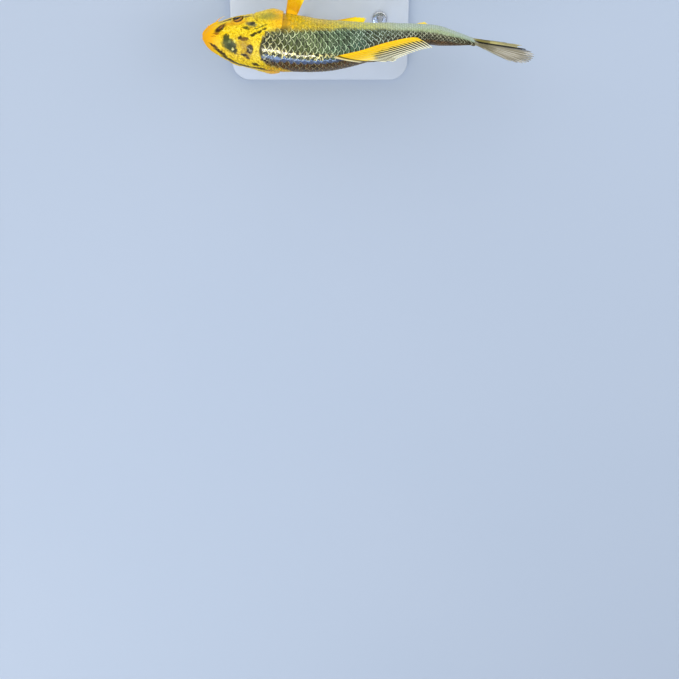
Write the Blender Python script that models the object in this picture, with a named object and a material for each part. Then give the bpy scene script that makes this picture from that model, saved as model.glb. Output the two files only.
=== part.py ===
# A koi carp swimming in a gentle left turn, life size, held on two short rods over a flat base.
# The fish is drawn straight first, in shares of its body length: station runs from the snout (0) to
# the end of the scales (1) and on into the tail fin, y to its right, z up. posed() then bends it.
import math

import bmesh
import bpy
from mathutils import Vector

BODY = 0.234  # metres from the snout to the end of the scales
AXIS_HEIGHT = 0.074  # the fish's long axis over the floor
MIDDLE = 0.45  # the station over the middle of the stand
GAP = 0.0003  # metres between neighbouring solids
SEAM = GAP / BODY

# Station, half width, height over the axis and depth under it.
STATIONS = (
    (0.00, 0.039, 0.036, 0.038),
    (0.05, 0.057, 0.054, 0.055),
    (0.10, 0.079, 0.073, 0.075),
    (0.18, 0.101, 0.096, 0.100),
    (0.26, 0.112, 0.116, 0.119),
    (0.34, 0.105, 0.131, 0.128),
    (0.42, 0.097, 0.139, 0.132),
    (0.50, 0.090, 0.140, 0.131),
    (0.60, 0.077, 0.131, 0.122),
    (0.69, 0.060, 0.113, 0.107),
    (0.77, 0.047, 0.094, 0.089),
    (0.85, 0.039, 0.076, 0.070),
    (0.92, 0.036, 0.065, 0.060),
    (1.00, 0.022, 0.065, 0.060),
    (1.06, 0.006, 0.075, 0.069),
)
HALF_WIDTH, TOP, BOTTOM = 1, 2, 3
NOSE = 0.05  # the snout is rounded off within this station
# Station and the fullness of the section over and under the axis, where 2 is an ellipse.
FULLNESS = (
    (0.00, 2.3, 2.3),
    (0.20, 2.2, 2.2),
    (0.38, 1.9, 2.3),
    (0.80, 1.9, 2.1),
    (1.06, 2.0, 2.0),
)
# Station and the sideways bend to the left, as a share of the body length.
SWAY = (
    (0.00, -0.022),
    (0.15, -0.007),
    (0.30, 0.003),
    (0.46, 0.0145),
    (0.60, 0.005),
    (0.73, -0.0185),
    (0.86, -0.030),
    (1.00, -0.011),
    (1.14, 0.012),
    (1.30, 0.034),
)
# Station and the roll to the left in degrees: the fore body banks a little, the tail twists back.
ROLL = ((0.00, 3.5), (0.40, 3.5), (0.80, -8.0), (1.30, -8.0))

GILL_TOP, GILL_BOTTOM = 50, 150  # degrees from the back, round the side
GILL_LENGTH = 0.112
GILL_DEPTH = 0.88  # the share of the radius under the gill cover
GILL_FLARE = 0.13
CUT_CENTRE = 0.27  # where the cut behind the head meets the axis
TAIL_CUT = 0.86
FLESH_END = 1.055  # the flesh of the tail base ends here

EYE_STATION, EYE_ANGLE = 0.135, 82
EYE_RADIUS = 0.0054
EYE_PROUD = 0.0016

MOUTH_HEIGHT, MOUTH_SLOPE, MOUTH_LENGTH = -0.012, -0.30, 0.060

RAY_STEPS = 5
FIN_ROOT, FIN_EDGE = 0.0015, 0.0006  # fin thickness in metres
FIN_SEAM = 1.6 * SEAM
# The fins of the middle line run between two stations. Their rays rise and lean by degrees, and
# lengths goes evenly from the first ray to the last.
DORSAL = {
    "stations": (0.515, 0.832),
    "rise": (33, 58),
    "lean": 16,
    "lengths": (0.10, 0.186, 0.165, 0.145, 0.128, 0.115, 0.100, 0.085),
}
ANAL = {
    "stations": (0.762, 0.838),
    "rise": (54, 40),
    "lean": -7,
    "lengths": (0.075, 0.128, 0.118, 0.100, 0.080, 0.062),
}
# Paired fins: station, angle and aim of the first ray, then of the last.
PECTORAL_SPREAD = (0.318, 113, (0.02, 0.93, -0.25)), (0.356, 133, (0.30, 0.72, -0.58))
PECTORAL_FOLDED = (0.318, 113, (0.66, 0.32, -0.62)), (0.356, 133, (0.90, 0.08, -0.36))
PECTORAL_LENGTHS = (0.165, 0.196, 0.200, 0.188, 0.165, 0.130)
PELVIC = (0.500, 146, (0.88, 0.04, -0.38)), (0.522, 162, (0.97, -0.02, -0.18))
PELVIC_LENGTHS = (0.105, 0.130, 0.128, 0.112, 0.085)
# Height of a tail lobe's outer ray at the root, and that ray's rise and lean in degrees.
TAIL_UPPER = (0.0715, 26, 27)
TAIL_LOWER = (0.0655, 18, 4)
TAIL_UPPER_LENGTHS = (0.150, 0.186, 0.206, 0.221, 0.232, 0.236, 0.230, 0.205)
TAIL_LOWER_LENGTHS = (0.150, 0.204, 0.208, 0.196, 0.184, 0.180, 0.184, 0.196)
BARBEL_RADIUS = 0.00055
BARBEL_LIFT = 1.08  # a feeler starts this share of the radius out, clear of the skin

ROD_STATIONS = {"front": 0.385, "rear": 0.695}
ROD_RADIUS = 0.0025
ROD_BITE = 0.003  # how far a rod goes up into the belly
BASE_SIZE = (0.170, 0.120, 0.008)
BASE_CORNER = 0.018


def smooth(table, at, column=1):
    last = len(table) - 1
    at = min(max(at, table[0][0]), table[last][0])
    i = next(k for k in range(last) if at <= table[k + 1][0])

    def slope(k):
        a, b = table[max(k - 1, 0)], table[min(k + 1, last)]
        return (b[column] - a[column]) / (b[0] - a[0])

    run = table[i + 1][0] - table[i][0]
    t = (at - table[i][0]) / run
    start, end = table[i][column], table[i + 1][column]
    return (
        start * (1 + 2 * t) * (1 - t) ** 2
        + slope(i) * run * t * (1 - t) ** 2
        + end * t * t * (3 - 2 * t)
        - slope(i + 1) * run * t * t * (1 - t)
    )


def step(low, high, at):
    t = min(max((at - low) / (high - low), 0.0), 1.0)
    return t * t * (3 - 2 * t)


def section(station, degrees, share=1.0):
    """Fish coordinates of the skin at an angle from the back: 90 is the right side, 180 the belly."""
    side, up = math.sin(math.radians(degrees)), math.cos(math.radians(degrees))
    power = 2 / smooth(FULLNESS, station, 1 if up > 0 else 2)
    tip = 1 - min(station / NOSE, 1.0)
    size = share * math.sqrt(max(1 - tip * tip, 0.0))
    height = smooth(STATIONS, station, TOP if up > 0 else BOTTOM)
    y = smooth(STATIONS, station, HALF_WIDTH) * math.copysign(abs(side) ** power, side)
    z = height * math.copysign(abs(up) ** power, up)
    return station, y * size, z * size


def posed(station, y, z):
    """A point of the straight fish, bent and rolled into its swimming pose, in metres."""
    roll = math.radians(smooth(ROLL, station))
    y, z = y * math.cos(roll) - z * math.sin(roll), y * math.sin(roll) + z * math.cos(roll)
    reach = 0.01
    bend = smooth(SWAY, station + reach) - smooth(SWAY, station - reach)
    heading = math.atan2(-bend, 2 * reach)
    return Vector(
        (
            (station - MIDDLE - y * math.sin(heading)) * BODY,
            (y * math.cos(heading) - smooth(SWAY, station)) * BODY,
            z * BODY + AXIS_HEIGHT,
        )
    )


def skin(station, degrees, share=1.0):
    return posed(*section(station, degrees, share))


def outward(station, degrees):
    """The direction straight out of the skin, in the pose."""
    along = skin(station + 0.004, degrees) - skin(station - 0.004, degrees)
    across = skin(station, degrees + 1.0) - skin(station, degrees - 1.0)
    return along.cross(across).normalized()


def gill_edge(degrees):
    """The station where the head ends, at an angle round the body."""
    angle = abs(degrees)
    return 0.223 + 0.080 * step(12, 62, angle) - 0.063 * step(125, 180, angle)


def cheek_edge(degrees):
    """The station where a gill cover begins."""
    middle, half = (GILL_TOP + GILL_BOTTOM) / 2, (GILL_BOTTOM - GILL_TOP) / 2
    away = min(abs(abs(degrees) - middle) / half, 1.0)
    return gill_edge(degrees) - GILL_LENGTH * math.sqrt(1 - 0.85 * away * away)


def cut_point(degrees, share, behind=0.0):
    """A point of the cut behind the head: a cone from the axis out to the gill edge."""
    edge = gill_edge(degrees)
    station, y, z = section(edge, degrees, share)
    return posed(CUT_CENTRE + (edge - CUT_CENTRE) * share + behind, y, z)


def material(name, colour, roughness, metallic=0.0):
    made = bpy.data.materials.new(name)
    made.use_nodes = True
    shader = made.node_tree.nodes["Principled BSDF"]
    shader.inputs["Base Color"].default_value = (*colour, 1.0)
    shader.inputs["Roughness"].default_value = roughness
    shader.inputs["Metallic"].default_value = metallic
    return made


def solid(name, points, faces, finish):
    """An object of these points and faces, shaded smooth where its edges are soft."""
    mesh = bpy.data.meshes.new(name)
    mesh.from_pydata([tuple(p) for p in points], [], faces)
    shape = bmesh.new()
    shape.from_mesh(mesh)
    bmesh.ops.recalc_face_normals(shape, faces=shape.faces)
    shape.to_mesh(mesh)
    shape.free()
    mesh.shade_smooth()
    mesh.set_sharp_from_angle(angle=math.radians(40))
    mesh.materials.append(finish)
    made = bpy.data.objects.new(name, mesh)
    bpy.context.scene.collection.objects.link(made)
    return made


def ring_faces(rings, count):
    """Faces between rings of count points each, with the first ring at the fish's front."""
    faces = []
    for r in range(rings - 1):
        for k in range(count):
            a, b = r * count + k, r * count + (k + 1) % count
            faces.append((a, b, b + count, a + count))
    return faces


def loft(name, rings, front, back, finish):
    """A closed solid over rings of points, with a point that closes each end."""
    count = len(rings[0])
    points = [p for ring in rings for p in ring] + [front, back]
    faces = ring_faces(len(rings), count)
    nose, end = len(points) - 2, len(points) - 1
    last = (len(rings) - 1) * count
    for k in range(count):
        faces.append(((k + 1) % count, k, nose))
        faces.append((last + k, last + (k + 1) % count, end))
    return solid(name, points, faces, finish)


def plate(name, outer, inner, finish):
    """A closed solid between two grids of the same size."""
    rows, columns = len(outer), len(outer[0])
    points = [p for row in outer for p in row] + [p for row in inner for p in row]
    under = rows * columns
    faces = []
    for i in range(rows - 1):
        for j in range(columns - 1):
            a = i * columns + j
            quad = (a, a + 1, a + columns + 1, a + columns)
            faces.append(quad)
            faces.append(tuple(under + k for k in reversed(quad)))
    rim = [i * columns for i in range(rows - 1)]
    rim += [(rows - 1) * columns + j for j in range(columns - 1)]
    rim += [i * columns + columns - 1 for i in range(rows - 1, 0, -1)]
    rim += list(range(columns - 1, 0, -1))
    for a, b in zip(rim, rim[1:] + rim[:1]):
        faces.append((a, b, b + under, a + under))
    return solid(name, points, faces, finish)


def cutter(name, points, faces):
    made = solid(name, points, faces, None)
    made.hide_render = True
    made.display_type = "WIRE"
    return made


def boolean(target, operation, other):
    change = target.modifiers.new(other.name, "BOOLEAN")
    change.operation = operation
    change.object = other


def round_angles(count):
    return [360.0 * k / count - 180.0 for k in range(count)]


def cover_angles():
    return [GILL_TOP + (GILL_BOTTOM - GILL_TOP) * k / 8 for k in range(1, 8)]


def body_angles():
    """Angles round the body, with a pair of lines at each edge of a gill cover."""
    edge = 0.5
    lines = [GILL_TOP - edge, GILL_TOP + edge, GILL_BOTTOM - edge, GILL_BOTTOM + edge]
    lines += [0, 13, 26, 38] + cover_angles() + [160, 170]
    return sorted([-a for a in lines if a > 0] + lines + [180])


def under_cover(degrees):
    return GILL_TOP < abs(degrees) < GILL_BOTTOM


def head_rings():
    """Rings from the snout to the gill edge, sunk where a gill cover lies over them."""
    rings = []
    for k in range(1, 10):
        share = (k / 9) ** 1.5
        wall = SEAM / 2 if k == 9 else 0
        rings.append([skin(cheek_edge(a) * share - wall, a) for a in body_angles()])
    for k in range(4):
        ring = []
        for a in body_angles():
            depth = GILL_DEPTH if under_cover(a) else 1.0
            start = cheek_edge(a) + SEAM / 2
            end = CUT_CENTRE + (gill_edge(a) - CUT_CENTRE) * depth
            ring.append(skin(start + (end - start) * k / 3, a, depth) if k < 3 else cut_point(a, depth))
        rings.append(ring)
    return rings


def wedge(name, grow):
    """A prism over the lower jaw: below the mouth line and ahead of its corner."""
    ahead, below = -0.03, -0.14
    top = [(s, MOUTH_HEIGHT + MOUTH_SLOPE * s) for s in (ahead, MOUTH_LENGTH)]
    low = [(MOUTH_LENGTH - ahead, below), (ahead, below)]
    profile = [(s + (grow if s > 0 else 0), z + (grow if z > below else 0)) for s, z in top + low]
    points = [posed(0, y, z) + Vector((s * BODY, 0, 0)) for y in (-0.1, 0.1) for s, z in profile]
    sides = [(k, (k + 1) % 4, (k + 1) % 4 + 4, k + 4) for k in range(4)]
    return cutter(name, points, [(3, 2, 1, 0), (4, 5, 6, 7)] + sides)


def ball(centre, radius, across=20, down=12):
    """Points and faces of a sphere."""
    points = [centre + Vector((0, 0, radius)), centre - Vector((0, 0, radius))]
    for i in range(1, down):
        tilt = math.pi * i / down
        for k in range(across):
            turn = 2 * math.pi * k / across
            spot = (math.sin(tilt) * math.cos(turn), math.sin(tilt) * math.sin(turn), math.cos(tilt))
            points.append(centre + radius * Vector(spot))
    faces = []
    for k in range(across):
        after = (k + 1) % across
        faces.append((0, 2 + k, 2 + after))
        low = 2 + (down - 2) * across
        faces.append((1, low + after, low + k))
        for i in range(down - 2):
            a = 2 + i * across
            faces.append((a + k, a + across + k, a + across + after, a + after))
    return points, faces


def eye_centre(side):
    at = skin(EYE_STATION, side * EYE_ANGLE)
    return at - outward(EYE_STATION, side * EYE_ANGLE) * (EYE_RADIUS - EYE_PROUD)


def make_head(finish, eye_finish):
    pole, centre = skin(0.0, 0), posed(CUT_CENTRE, 0, 0)
    head = loft("head", head_rings(), pole, centre, finish)
    jaw = loft("lower_jaw", head_rings(), pole, centre, finish)
    boolean(head, "DIFFERENCE", wedge("mouth_cut", SEAM))
    boolean(jaw, "INTERSECT", wedge("jaw_shape", 0))
    for side, word in ((1, "right"), (-1, "left")):
        points, faces = ball(eye_centre(side), EYE_RADIUS + GAP)
        boolean(head, "DIFFERENCE", cutter("socket_" + word, points, faces))
        points, faces = ball(eye_centre(side), EYE_RADIUS)
        solid("eye_" + word, points, faces, eye_finish)


def cover_rise(t):
    """Share of a gill cover's swell, from its front (0) to its free rear edge (1)."""
    return step(-0.1, 0.85, t) - 0.5 * step(0.72, 1.0, t)


def make_gill_covers(finish):
    """Each cover lies in its recess, swells and stands a little proud at its rear edge."""
    low, steps = GILL_DEPTH + 0.02, 6
    turns = [GILL_TOP + 1.4] + cover_angles() + [GILL_BOTTOM - 1.4]
    for side, word in ((1, "right"), (-1, "left")):
        outer, inner = [], []
        for i, turn in enumerate(turns):
            swell = GILL_FLARE * math.sin(math.pi * i / (len(turns) - 1))
            start = cheek_edge(turn) + 1.5 * SEAM
            edge, end = gill_edge(turn), CUT_CENTRE + (gill_edge(turn) - CUT_CENTRE) * low
            over, under = [], []
            for j in range(steps):
                t = j / steps
                share = 1 + swell * cover_rise(t)
                over.append(skin(start + (edge - start) * t, side * turn, share))
                under.append(skin(start + (end - start) * t, side * turn, low))
            outer.append(over + [cut_point(side * turn, 1 + swell * cover_rise(1.0))])
            inner.append(under + [cut_point(side * turn, low)])
        plate("gill_cover_" + word, outer, inner, finish)


def make_trunk(finish):
    angles, steps = body_angles(), 20
    rings = [[cut_point(a, 1.0, SEAM) for a in angles]]
    for k in range(1, steps + 1):
        starts = [gill_edge(a) + SEAM for a in angles]
        rings.append([skin(b + (TAIL_CUT - b) * k / steps, a) for a, b in zip(angles, starts)])
    front = posed(CUT_CENTRE + SEAM, 0, 0)
    trunk = loft("trunk", rings, front, posed(TAIL_CUT, 0, 0), finish)
    for word, station in ROD_STATIONS.items():
        foot = belly(station)
        low, high = foot.z - 0.01, foot.z + ROD_BITE + GAP
        points, faces = turned_shape([(ROD_RADIUS + GAP, low), (ROD_RADIUS + GAP, high)], foot)
        boolean(trunk, "DIFFERENCE", cutter("pocket_" + word, points, faces))


def make_tail_stalk(finish):
    angles = round_angles(32)
    rings = []
    for k in range(13):
        station = TAIL_CUT + SEAM + (FLESH_END - TAIL_CUT - SEAM) * k / 12
        rings.append([skin(station, a) for a in angles])
    ends = posed(TAIL_CUT + SEAM, 0, 0), posed(FLESH_END, 0, 0)
    loft("tail_stalk", rings, *ends, finish)


def fin(name, rays, finish):
    """A thin solid over rays, each a list of points in the straight fish."""
    grid = [[posed(*p) for p in ray] for ray in rays]
    rows, columns = len(grid), len(grid[0])
    over, under = [], []
    for i in range(rows):
        upper, lower = [], []
        for j in range(columns):
            along = grid[i][min(j + 1, columns - 1)] - grid[i][max(j - 1, 0)]
            across = grid[min(i + 1, rows - 1)][j] - grid[max(i - 1, 0)][j]
            half = (FIN_ROOT + (FIN_EDGE - FIN_ROOT) * (j / (columns - 1)) ** 0.6) / 2
            out = across.cross(along).normalized() * half
            upper.append(grid[i][j] + out)
            lower.append(grid[i][j] - out)
        over.append(upper)
        under.append(lower)
    plate(name, over, under, finish)


def ray(root, aim, length, curl=(0, 0, 0)):
    """Points along a fin ray: straight on along aim, drawn aside by curl towards its tip."""
    aim = Vector(aim).normalized()
    root = Vector(root)
    points = []
    for j in range(RAY_STEPS + 1):
        t = j / RAY_STEPS
        points.append(root + aim * length * t + Vector(curl) * length * t * t)
    return points


def between(a, b, t):
    return a + (b - a) * t


def fin_length(lengths, t):
    """The length of the ray at t, from 0 at the leading edge to 1 at the last ray."""
    return smooth(tuple((k / (len(lengths) - 1), x) for k, x in enumerate(lengths)), t)


def back_fin(name, up, rays, stations, rise, lean, lengths, finish):
    """A fin on the middle line of the back (up is 1) or of the belly (-1)."""
    made = []
    for i in range(rays):
        t = i / (rays - 1)
        lift, aside = math.radians(between(*rise, t)), math.radians(lean)
        aim = (math.cos(lift), -math.sin(lift) * math.sin(aside), up * math.sin(lift) * math.cos(aside))
        root = Vector(section(between(*stations, t), 90 - 90 * up)) + Vector((0, 0, up * FIN_SEAM))
        made.append(ray(root, aim, fin_length(lengths, t), (0.10, math.copysign(0.06, -lean), 0)))
    fin(name, made, finish)


def side_fin(name, side, rays, lift, lead, trail, lengths, finish):
    """A paired fin. lead and trail are (station, angle, aim) of its first and last rays."""
    made = []
    for i in range(rays):
        t = i / (rays - 1)
        station, angle = between(lead[0], trail[0], t), between(lead[1], trail[1], t)
        aim = Vector(lead[2]).lerp(Vector(trail[2]), t)
        points = ray(section(station, angle, lift), aim, fin_length(lengths, t), (0.10, 0, -0.06))
        made.append([Vector((p.x, p.y * side, p.z)) for p in points])
    fin(name, made, finish)


def tail_lobe(name, up, rays, height, rise, lean, lengths, finish):
    """One lobe of the tail, from its outer edge to the middle rays, leaning to the left."""
    made = []
    for i in range(rays):
        t = i / (rays - 1)
        lift = math.radians(between(rise, 1.0, t))
        root = (FLESH_END + FIN_SEAM, 0, up * between(height, FIN_SEAM, t))
        aside = -math.sin(lift) * math.tan(math.radians(lean))
        aim = (math.cos(lift), aside, up * math.sin(lift))
        made.append(ray(root, aim, fin_length(lengths, t)))
    fin(name, made, finish)


def make_fins(finish):
    back_fin("dorsal_fin", 1, 15, **DORSAL, finish=finish)
    back_fin("anal_fin", -1, 8, **ANAL, finish=finish)
    side_fin("pectoral_fin_right", 1, 9, 1.025, *PECTORAL_SPREAD, PECTORAL_LENGTHS, finish)
    side_fin("pectoral_fin_left", -1, 9, 1.045, *PECTORAL_FOLDED, PECTORAL_LENGTHS, finish)
    side_fin("pelvic_fin_right", 1, 7, 1.04, *PELVIC, PELVIC_LENGTHS, finish)
    side_fin("pelvic_fin_left", -1, 7, 1.04, *PELVIC, PELVIC_LENGTHS, finish)
    tail_lobe("tail_fin_upper", 1, 10, *TAIL_UPPER, TAIL_UPPER_LENGTHS, finish)
    tail_lobe("tail_fin_lower", -1, 10, *TAIL_LOWER, TAIL_LOWER_LENGTHS, finish)


def barbel(name, side, root, aim, length, curl, finish):
    """A feeler beside the mouth: a tapered tube from a station and an angle on the skin."""
    curve = bpy.data.curves.new(name, "CURVE")
    curve.dimensions = "3D"
    curve.bevel_depth = BARBEL_RADIUS
    curve.bevel_resolution = 2
    curve.use_fill_caps = True
    spline = curve.splines.new("POLY")
    spline.points.add(RAY_STEPS)
    for k, p in enumerate(ray(section(*root, BARBEL_LIFT), aim, length, curl)):
        spline.points[k].co = (*posed(p.x, p.y * side, p.z), 1)
        spline.points[k].radius = 1 - 0.4 * k / RAY_STEPS
    curve.materials.append(finish)
    made = bpy.data.objects.new(name, curve)
    bpy.context.scene.collection.objects.link(made)


def make_barbels(finish):
    for side, word in ((1, "right"), (-1, "left")):
        barbel(
            "barbel_rear_" + word, side, (0.050, 112), (0.45, 0.50, -0.75), 0.036,
            (0.30, -0.25, -0.35), finish,
        )
        barbel(
            "barbel_front_" + word, side, (0.018, 92), (-0.10, 0.75, -0.65), 0.016,
            (0.20, -0.30, -0.40), finish,
        )


def belly(station):
    """The lowest point of the body at a station."""
    return min((skin(station, a) for a in range(120, 241)), key=lambda p: p.z)


def turned_shape(profile, centre, segments=24):
    """Points and faces of a turned solid: profile is (radius, height) from the bottom up."""
    points = []
    for radius, height in profile:
        for k in range(segments):
            turn = 2 * math.pi * k / segments
            x, y = centre.x + radius * math.cos(turn), centre.y + radius * math.sin(turn)
            points.append(Vector((x, y, height)))
    faces = ring_faces(len(profile), segments)
    top = (len(profile) - 1) * segments
    faces.append(tuple(reversed(range(segments))))
    faces.append(tuple(range(top, top + segments)))
    return points, faces


def make_rods(finish):
    """Each rod stands on a small foot and goes a little way up into the belly."""
    foot_radius, foot_height, fillet = 0.0070, 0.0025, 0.0012
    floor = BASE_SIZE[2] + GAP
    for word, station in ROD_STATIONS.items():
        at = belly(station)
        profile = [(foot_radius, floor), (foot_radius, floor + foot_height - 0.0006)]
        profile.append((foot_radius - 0.0006, floor + foot_height))
        for k in range(4):
            turn = math.radians(30 * k)
            radius = ROD_RADIUS + fillet * (1 - math.sin(turn))
            profile.append((radius, floor + foot_height + fillet * (1 - math.cos(turn)) + 0.0001))
        profile.append((ROD_RADIUS, at.z + ROD_BITE))
        points, faces = turned_shape(profile, at)
        solid("stand_rod_" + word, points, faces, finish)


def make_base(finish):
    """A flat base with round corners and a small chamfer."""
    length, width, height = BASE_SIZE
    outline = []
    for corner in range(4):
        for k in range(7):
            turn = math.radians(90 * corner + 15 * k)
            across = (length / 2 - BASE_CORNER) * (1 if corner in (0, 3) else -1)
            along = (width / 2 - BASE_CORNER) * (1 if corner in (0, 1) else -1)
            outline.append((across, along, math.cos(turn), math.sin(turn)))
    points = []
    for inset, z in ((0.0005, 0.0), (0.0, 0.0005), (0.0, height - 0.0012), (0.0012, height)):
        for x, y, c, s in outline:
            reach = BASE_CORNER - inset
            points.append(Vector((x + reach * c, y + reach * s, z)))
    count = len(outline)
    faces = ring_faces(4, count)
    faces.append(tuple(reversed(range(count))))
    faces.append(tuple(range(3 * count, 4 * count)))
    solid("stand_base", points, faces, finish)


def main():
    for old in list(bpy.data.objects):
        bpy.data.objects.remove(old)
    head_skin = material("head_skin", (0.93, 0.60, 0.02), 0.35)
    body_skin = material("body_skin", (0.20, 0.22, 0.10), 0.35)
    fin_skin = material("fin_skin", (0.90, 0.62, 0.08), 0.40)
    eye = material("eye", (0.03, 0.02, 0.01), 0.10)
    base = material("stand_white", (0.80, 0.80, 0.78), 0.45)
    steel = material("stand_steel", (0.55, 0.55, 0.55), 0.30, 1.0)
    make_head(head_skin, eye)
    make_gill_covers(head_skin)
    make_trunk(body_skin)
    make_tail_stalk(body_skin)
    make_fins(fin_skin)
    make_barbels(head_skin)
    make_rods(steel)
    make_base(base)


main()
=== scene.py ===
import math

import bpy
import numpy as np
from mathutils import Matrix, Vector


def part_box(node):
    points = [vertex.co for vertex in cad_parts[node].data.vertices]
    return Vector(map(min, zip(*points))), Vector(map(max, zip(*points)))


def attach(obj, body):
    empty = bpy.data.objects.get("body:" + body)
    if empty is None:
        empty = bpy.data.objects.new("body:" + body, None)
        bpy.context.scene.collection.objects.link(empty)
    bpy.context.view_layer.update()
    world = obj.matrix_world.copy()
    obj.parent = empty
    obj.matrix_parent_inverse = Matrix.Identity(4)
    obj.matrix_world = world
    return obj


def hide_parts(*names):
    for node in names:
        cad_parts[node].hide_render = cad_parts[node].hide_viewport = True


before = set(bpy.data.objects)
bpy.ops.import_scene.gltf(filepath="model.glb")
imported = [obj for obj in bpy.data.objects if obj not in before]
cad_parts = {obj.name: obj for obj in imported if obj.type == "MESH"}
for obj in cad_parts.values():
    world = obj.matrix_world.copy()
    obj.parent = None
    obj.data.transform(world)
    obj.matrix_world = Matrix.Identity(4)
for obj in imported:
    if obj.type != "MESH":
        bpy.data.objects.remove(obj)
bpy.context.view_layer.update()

# A koi carp on a display stand. The fish is drawn straight, in shares of its body length: station
# runs from snout (0) to the end of the scales (1), around is degrees from the back, right side plus.
fishBody = {
    "length": 0.234,
    "axisHeight": 0.074,
    "middle": 0.45,  # the station over the middle of the stand
    "nose": 0.05,  # the snout is rounded off within this station
    "fleshEnd": 1.055,
    "sections": (  # station, half width, height over the axis, depth under it
        (0.00, 0.039, 0.036, 0.038),
        (0.05, 0.057, 0.054, 0.055),
        (0.10, 0.079, 0.073, 0.075),
        (0.18, 0.101, 0.096, 0.100),
        (0.26, 0.112, 0.116, 0.119),
        (0.34, 0.105, 0.131, 0.128),
        (0.42, 0.097, 0.139, 0.132),
        (0.50, 0.090, 0.140, 0.131),
        (0.60, 0.077, 0.131, 0.122),
        (0.69, 0.060, 0.113, 0.107),
        (0.77, 0.047, 0.094, 0.089),
        (0.85, 0.039, 0.076, 0.070),
        (0.92, 0.036, 0.065, 0.060),
        (1.00, 0.022, 0.065, 0.060),
        (1.06, 0.006, 0.075, 0.069),
    ),
    "fullness": ((0.00, 2.3, 2.3), (0.20, 2.2, 2.2), (0.38, 1.9, 2.3), (0.80, 1.9, 2.1), (1.06, 2.0, 2.0)),
    "sway": (  # bend to the left
        (0.00, -0.022), (0.15, -0.007), (0.30, 0.003), (0.46, 0.0145), (0.60, 0.005),
        (0.73, -0.0185), (0.86, -0.030), (1.00, -0.011), (1.14, 0.012), (1.30, 0.034),
    ),
    "roll": ((0.00, 3.5), (0.40, 3.5), (0.80, -8.0), (1.30, -8.0)),  # degrees to the left
}
gill = {
    "top": 50, "bottom": 150, "length": 0.112, "flare": 0.13,
    "nape": 0.223,  # the station where the head ends at the back
    "shoulder": 0.080, "throat": 0.063,  # how much further back it ends at the side, and how much less below
}
unit = fishBody["length"]


def easeTable(table, at, column=1):  # a smooth curve through one column of a table
    knots = np.array([row[0] for row in table], float)
    values = np.array([row[column] for row in table], float)
    last = len(knots) - 1
    order = np.arange(last + 1)
    before, after = np.maximum(order - 1, 0), np.minimum(order + 1, last)
    slopes = (values[after] - values[before]) / (knots[after] - knots[before])
    at = np.clip(at, knots[0], knots[-1])
    i = np.clip(np.searchsorted(knots, at) - 1, 0, last - 1)
    run = knots[i + 1] - knots[i]
    t = (at - knots[i]) / run
    start = values[i] * (1 + 2 * t) * (1 - t) ** 2 + slopes[i] * run * t * (1 - t) ** 2
    return start + values[i + 1] * t * t * (3 - 2 * t) - slopes[i + 1] * run * t * t * (1 - t)


def ramp(low, high, at):  # a smooth step
    t = np.clip((at - low) / (high - low), 0.0, 1.0)
    return t * t * (3 - 2 * t)


def bump(at, centre, width):
    return np.exp(-(((at - centre) / width) ** 2))


def section(station, around, share=1.0):  # a place on the straight body
    side, up = np.sin(np.radians(around)), np.cos(np.radians(around))

    def half(table, column):  # the value over the axis, or the one under it
        upper, lower = (easeTable(fishBody[table], station, c) for c in (column, column + 1))
        return np.where(up > 0, upper, lower)

    power = 2 / half("fullness", 1)
    tip = 1 - np.minimum(station / fishBody["nose"], 1.0)
    size = share * np.sqrt(np.maximum(1 - tip * tip, 0.0))
    y = easeTable(fishBody["sections"], station, 1) * np.sign(side) * np.abs(side) ** power
    z = half("sections", 2) * np.sign(up) * np.abs(up) ** power
    return station, y * size, z * size


def posed(station, y, z):  # from the straight body to the bent and rolled one, in metres
    roll = np.radians(easeTable(fishBody["roll"], station))
    y, z = y * np.cos(roll) - z * np.sin(roll), y * np.sin(roll) + z * np.cos(roll)
    reach = 0.01
    bend = easeTable(fishBody["sway"], station + reach) - easeTable(fishBody["sway"], station - reach)
    heading = np.arctan2(-bend, 2 * reach)
    x = (station - fishBody["middle"] - y * np.sin(heading)) * unit
    y = (y * np.cos(heading) - easeTable(fishBody["sway"], station)) * unit
    return stack(x, y, z * unit + fishBody["axisHeight"])


def stack(*parts):
    return np.stack(np.broadcast_arrays(*parts), axis=-1)


def unitVectors(vectors):
    return vectors / np.maximum(np.linalg.norm(vectors, axis=-1, keepdims=True), 1e-12)


def surfaceFrame(station, around):
    at = posed(*section(station, around))
    step = 0.004
    tailward = unitVectors(posed(*section(station + step, around)) - posed(*section(station - step, around)))
    sideward = unitVectors(posed(*section(station, around + 1.0)) - posed(*section(station, around - 1.0)))
    return at, tailward, sideward, unitVectors(np.cross(tailward, sideward))


def gillEdge(around):  # the station where the head ends
    angle = np.abs(around)
    return gill["nape"] + gill["shoulder"] * ramp(12, 62, angle) - gill["throat"] * ramp(125, 180, angle)


def cheekEdge(around):  # the station where a gill cover begins
    middle, half = (gill["top"] + gill["bottom"]) / 2, (gill["bottom"] - gill["top"]) / 2
    away = np.minimum(np.abs(np.abs(around) - middle) / half, 1.0)
    return gillEdge(around) - gill["length"] * np.sqrt(1 - 0.85 * away * away)


def gillFlare(station, around):
    turn = np.clip((np.abs(around) - gill["top"]) / (gill["bottom"] - gill["top"]), 0, 1)
    start = cheekEdge(around)
    along = np.clip((station - start) / (gillEdge(around) - start), 0, 1)
    rise = ramp(-0.12, 0.84, along) - 0.5 * ramp(0.66, 1.05, along)
    return gill["flare"] * np.sin(np.pi * turn) * rise


def linked(name, data):
    made = bpy.data.objects.new(name, data)
    bpy.context.scene.collection.objects.link(made)
    return made


def makeObject(name, mesh, material):
    made = linked(name, mesh)
    mesh.materials.clear()
    mesh.materials.append(material)
    return made


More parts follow.
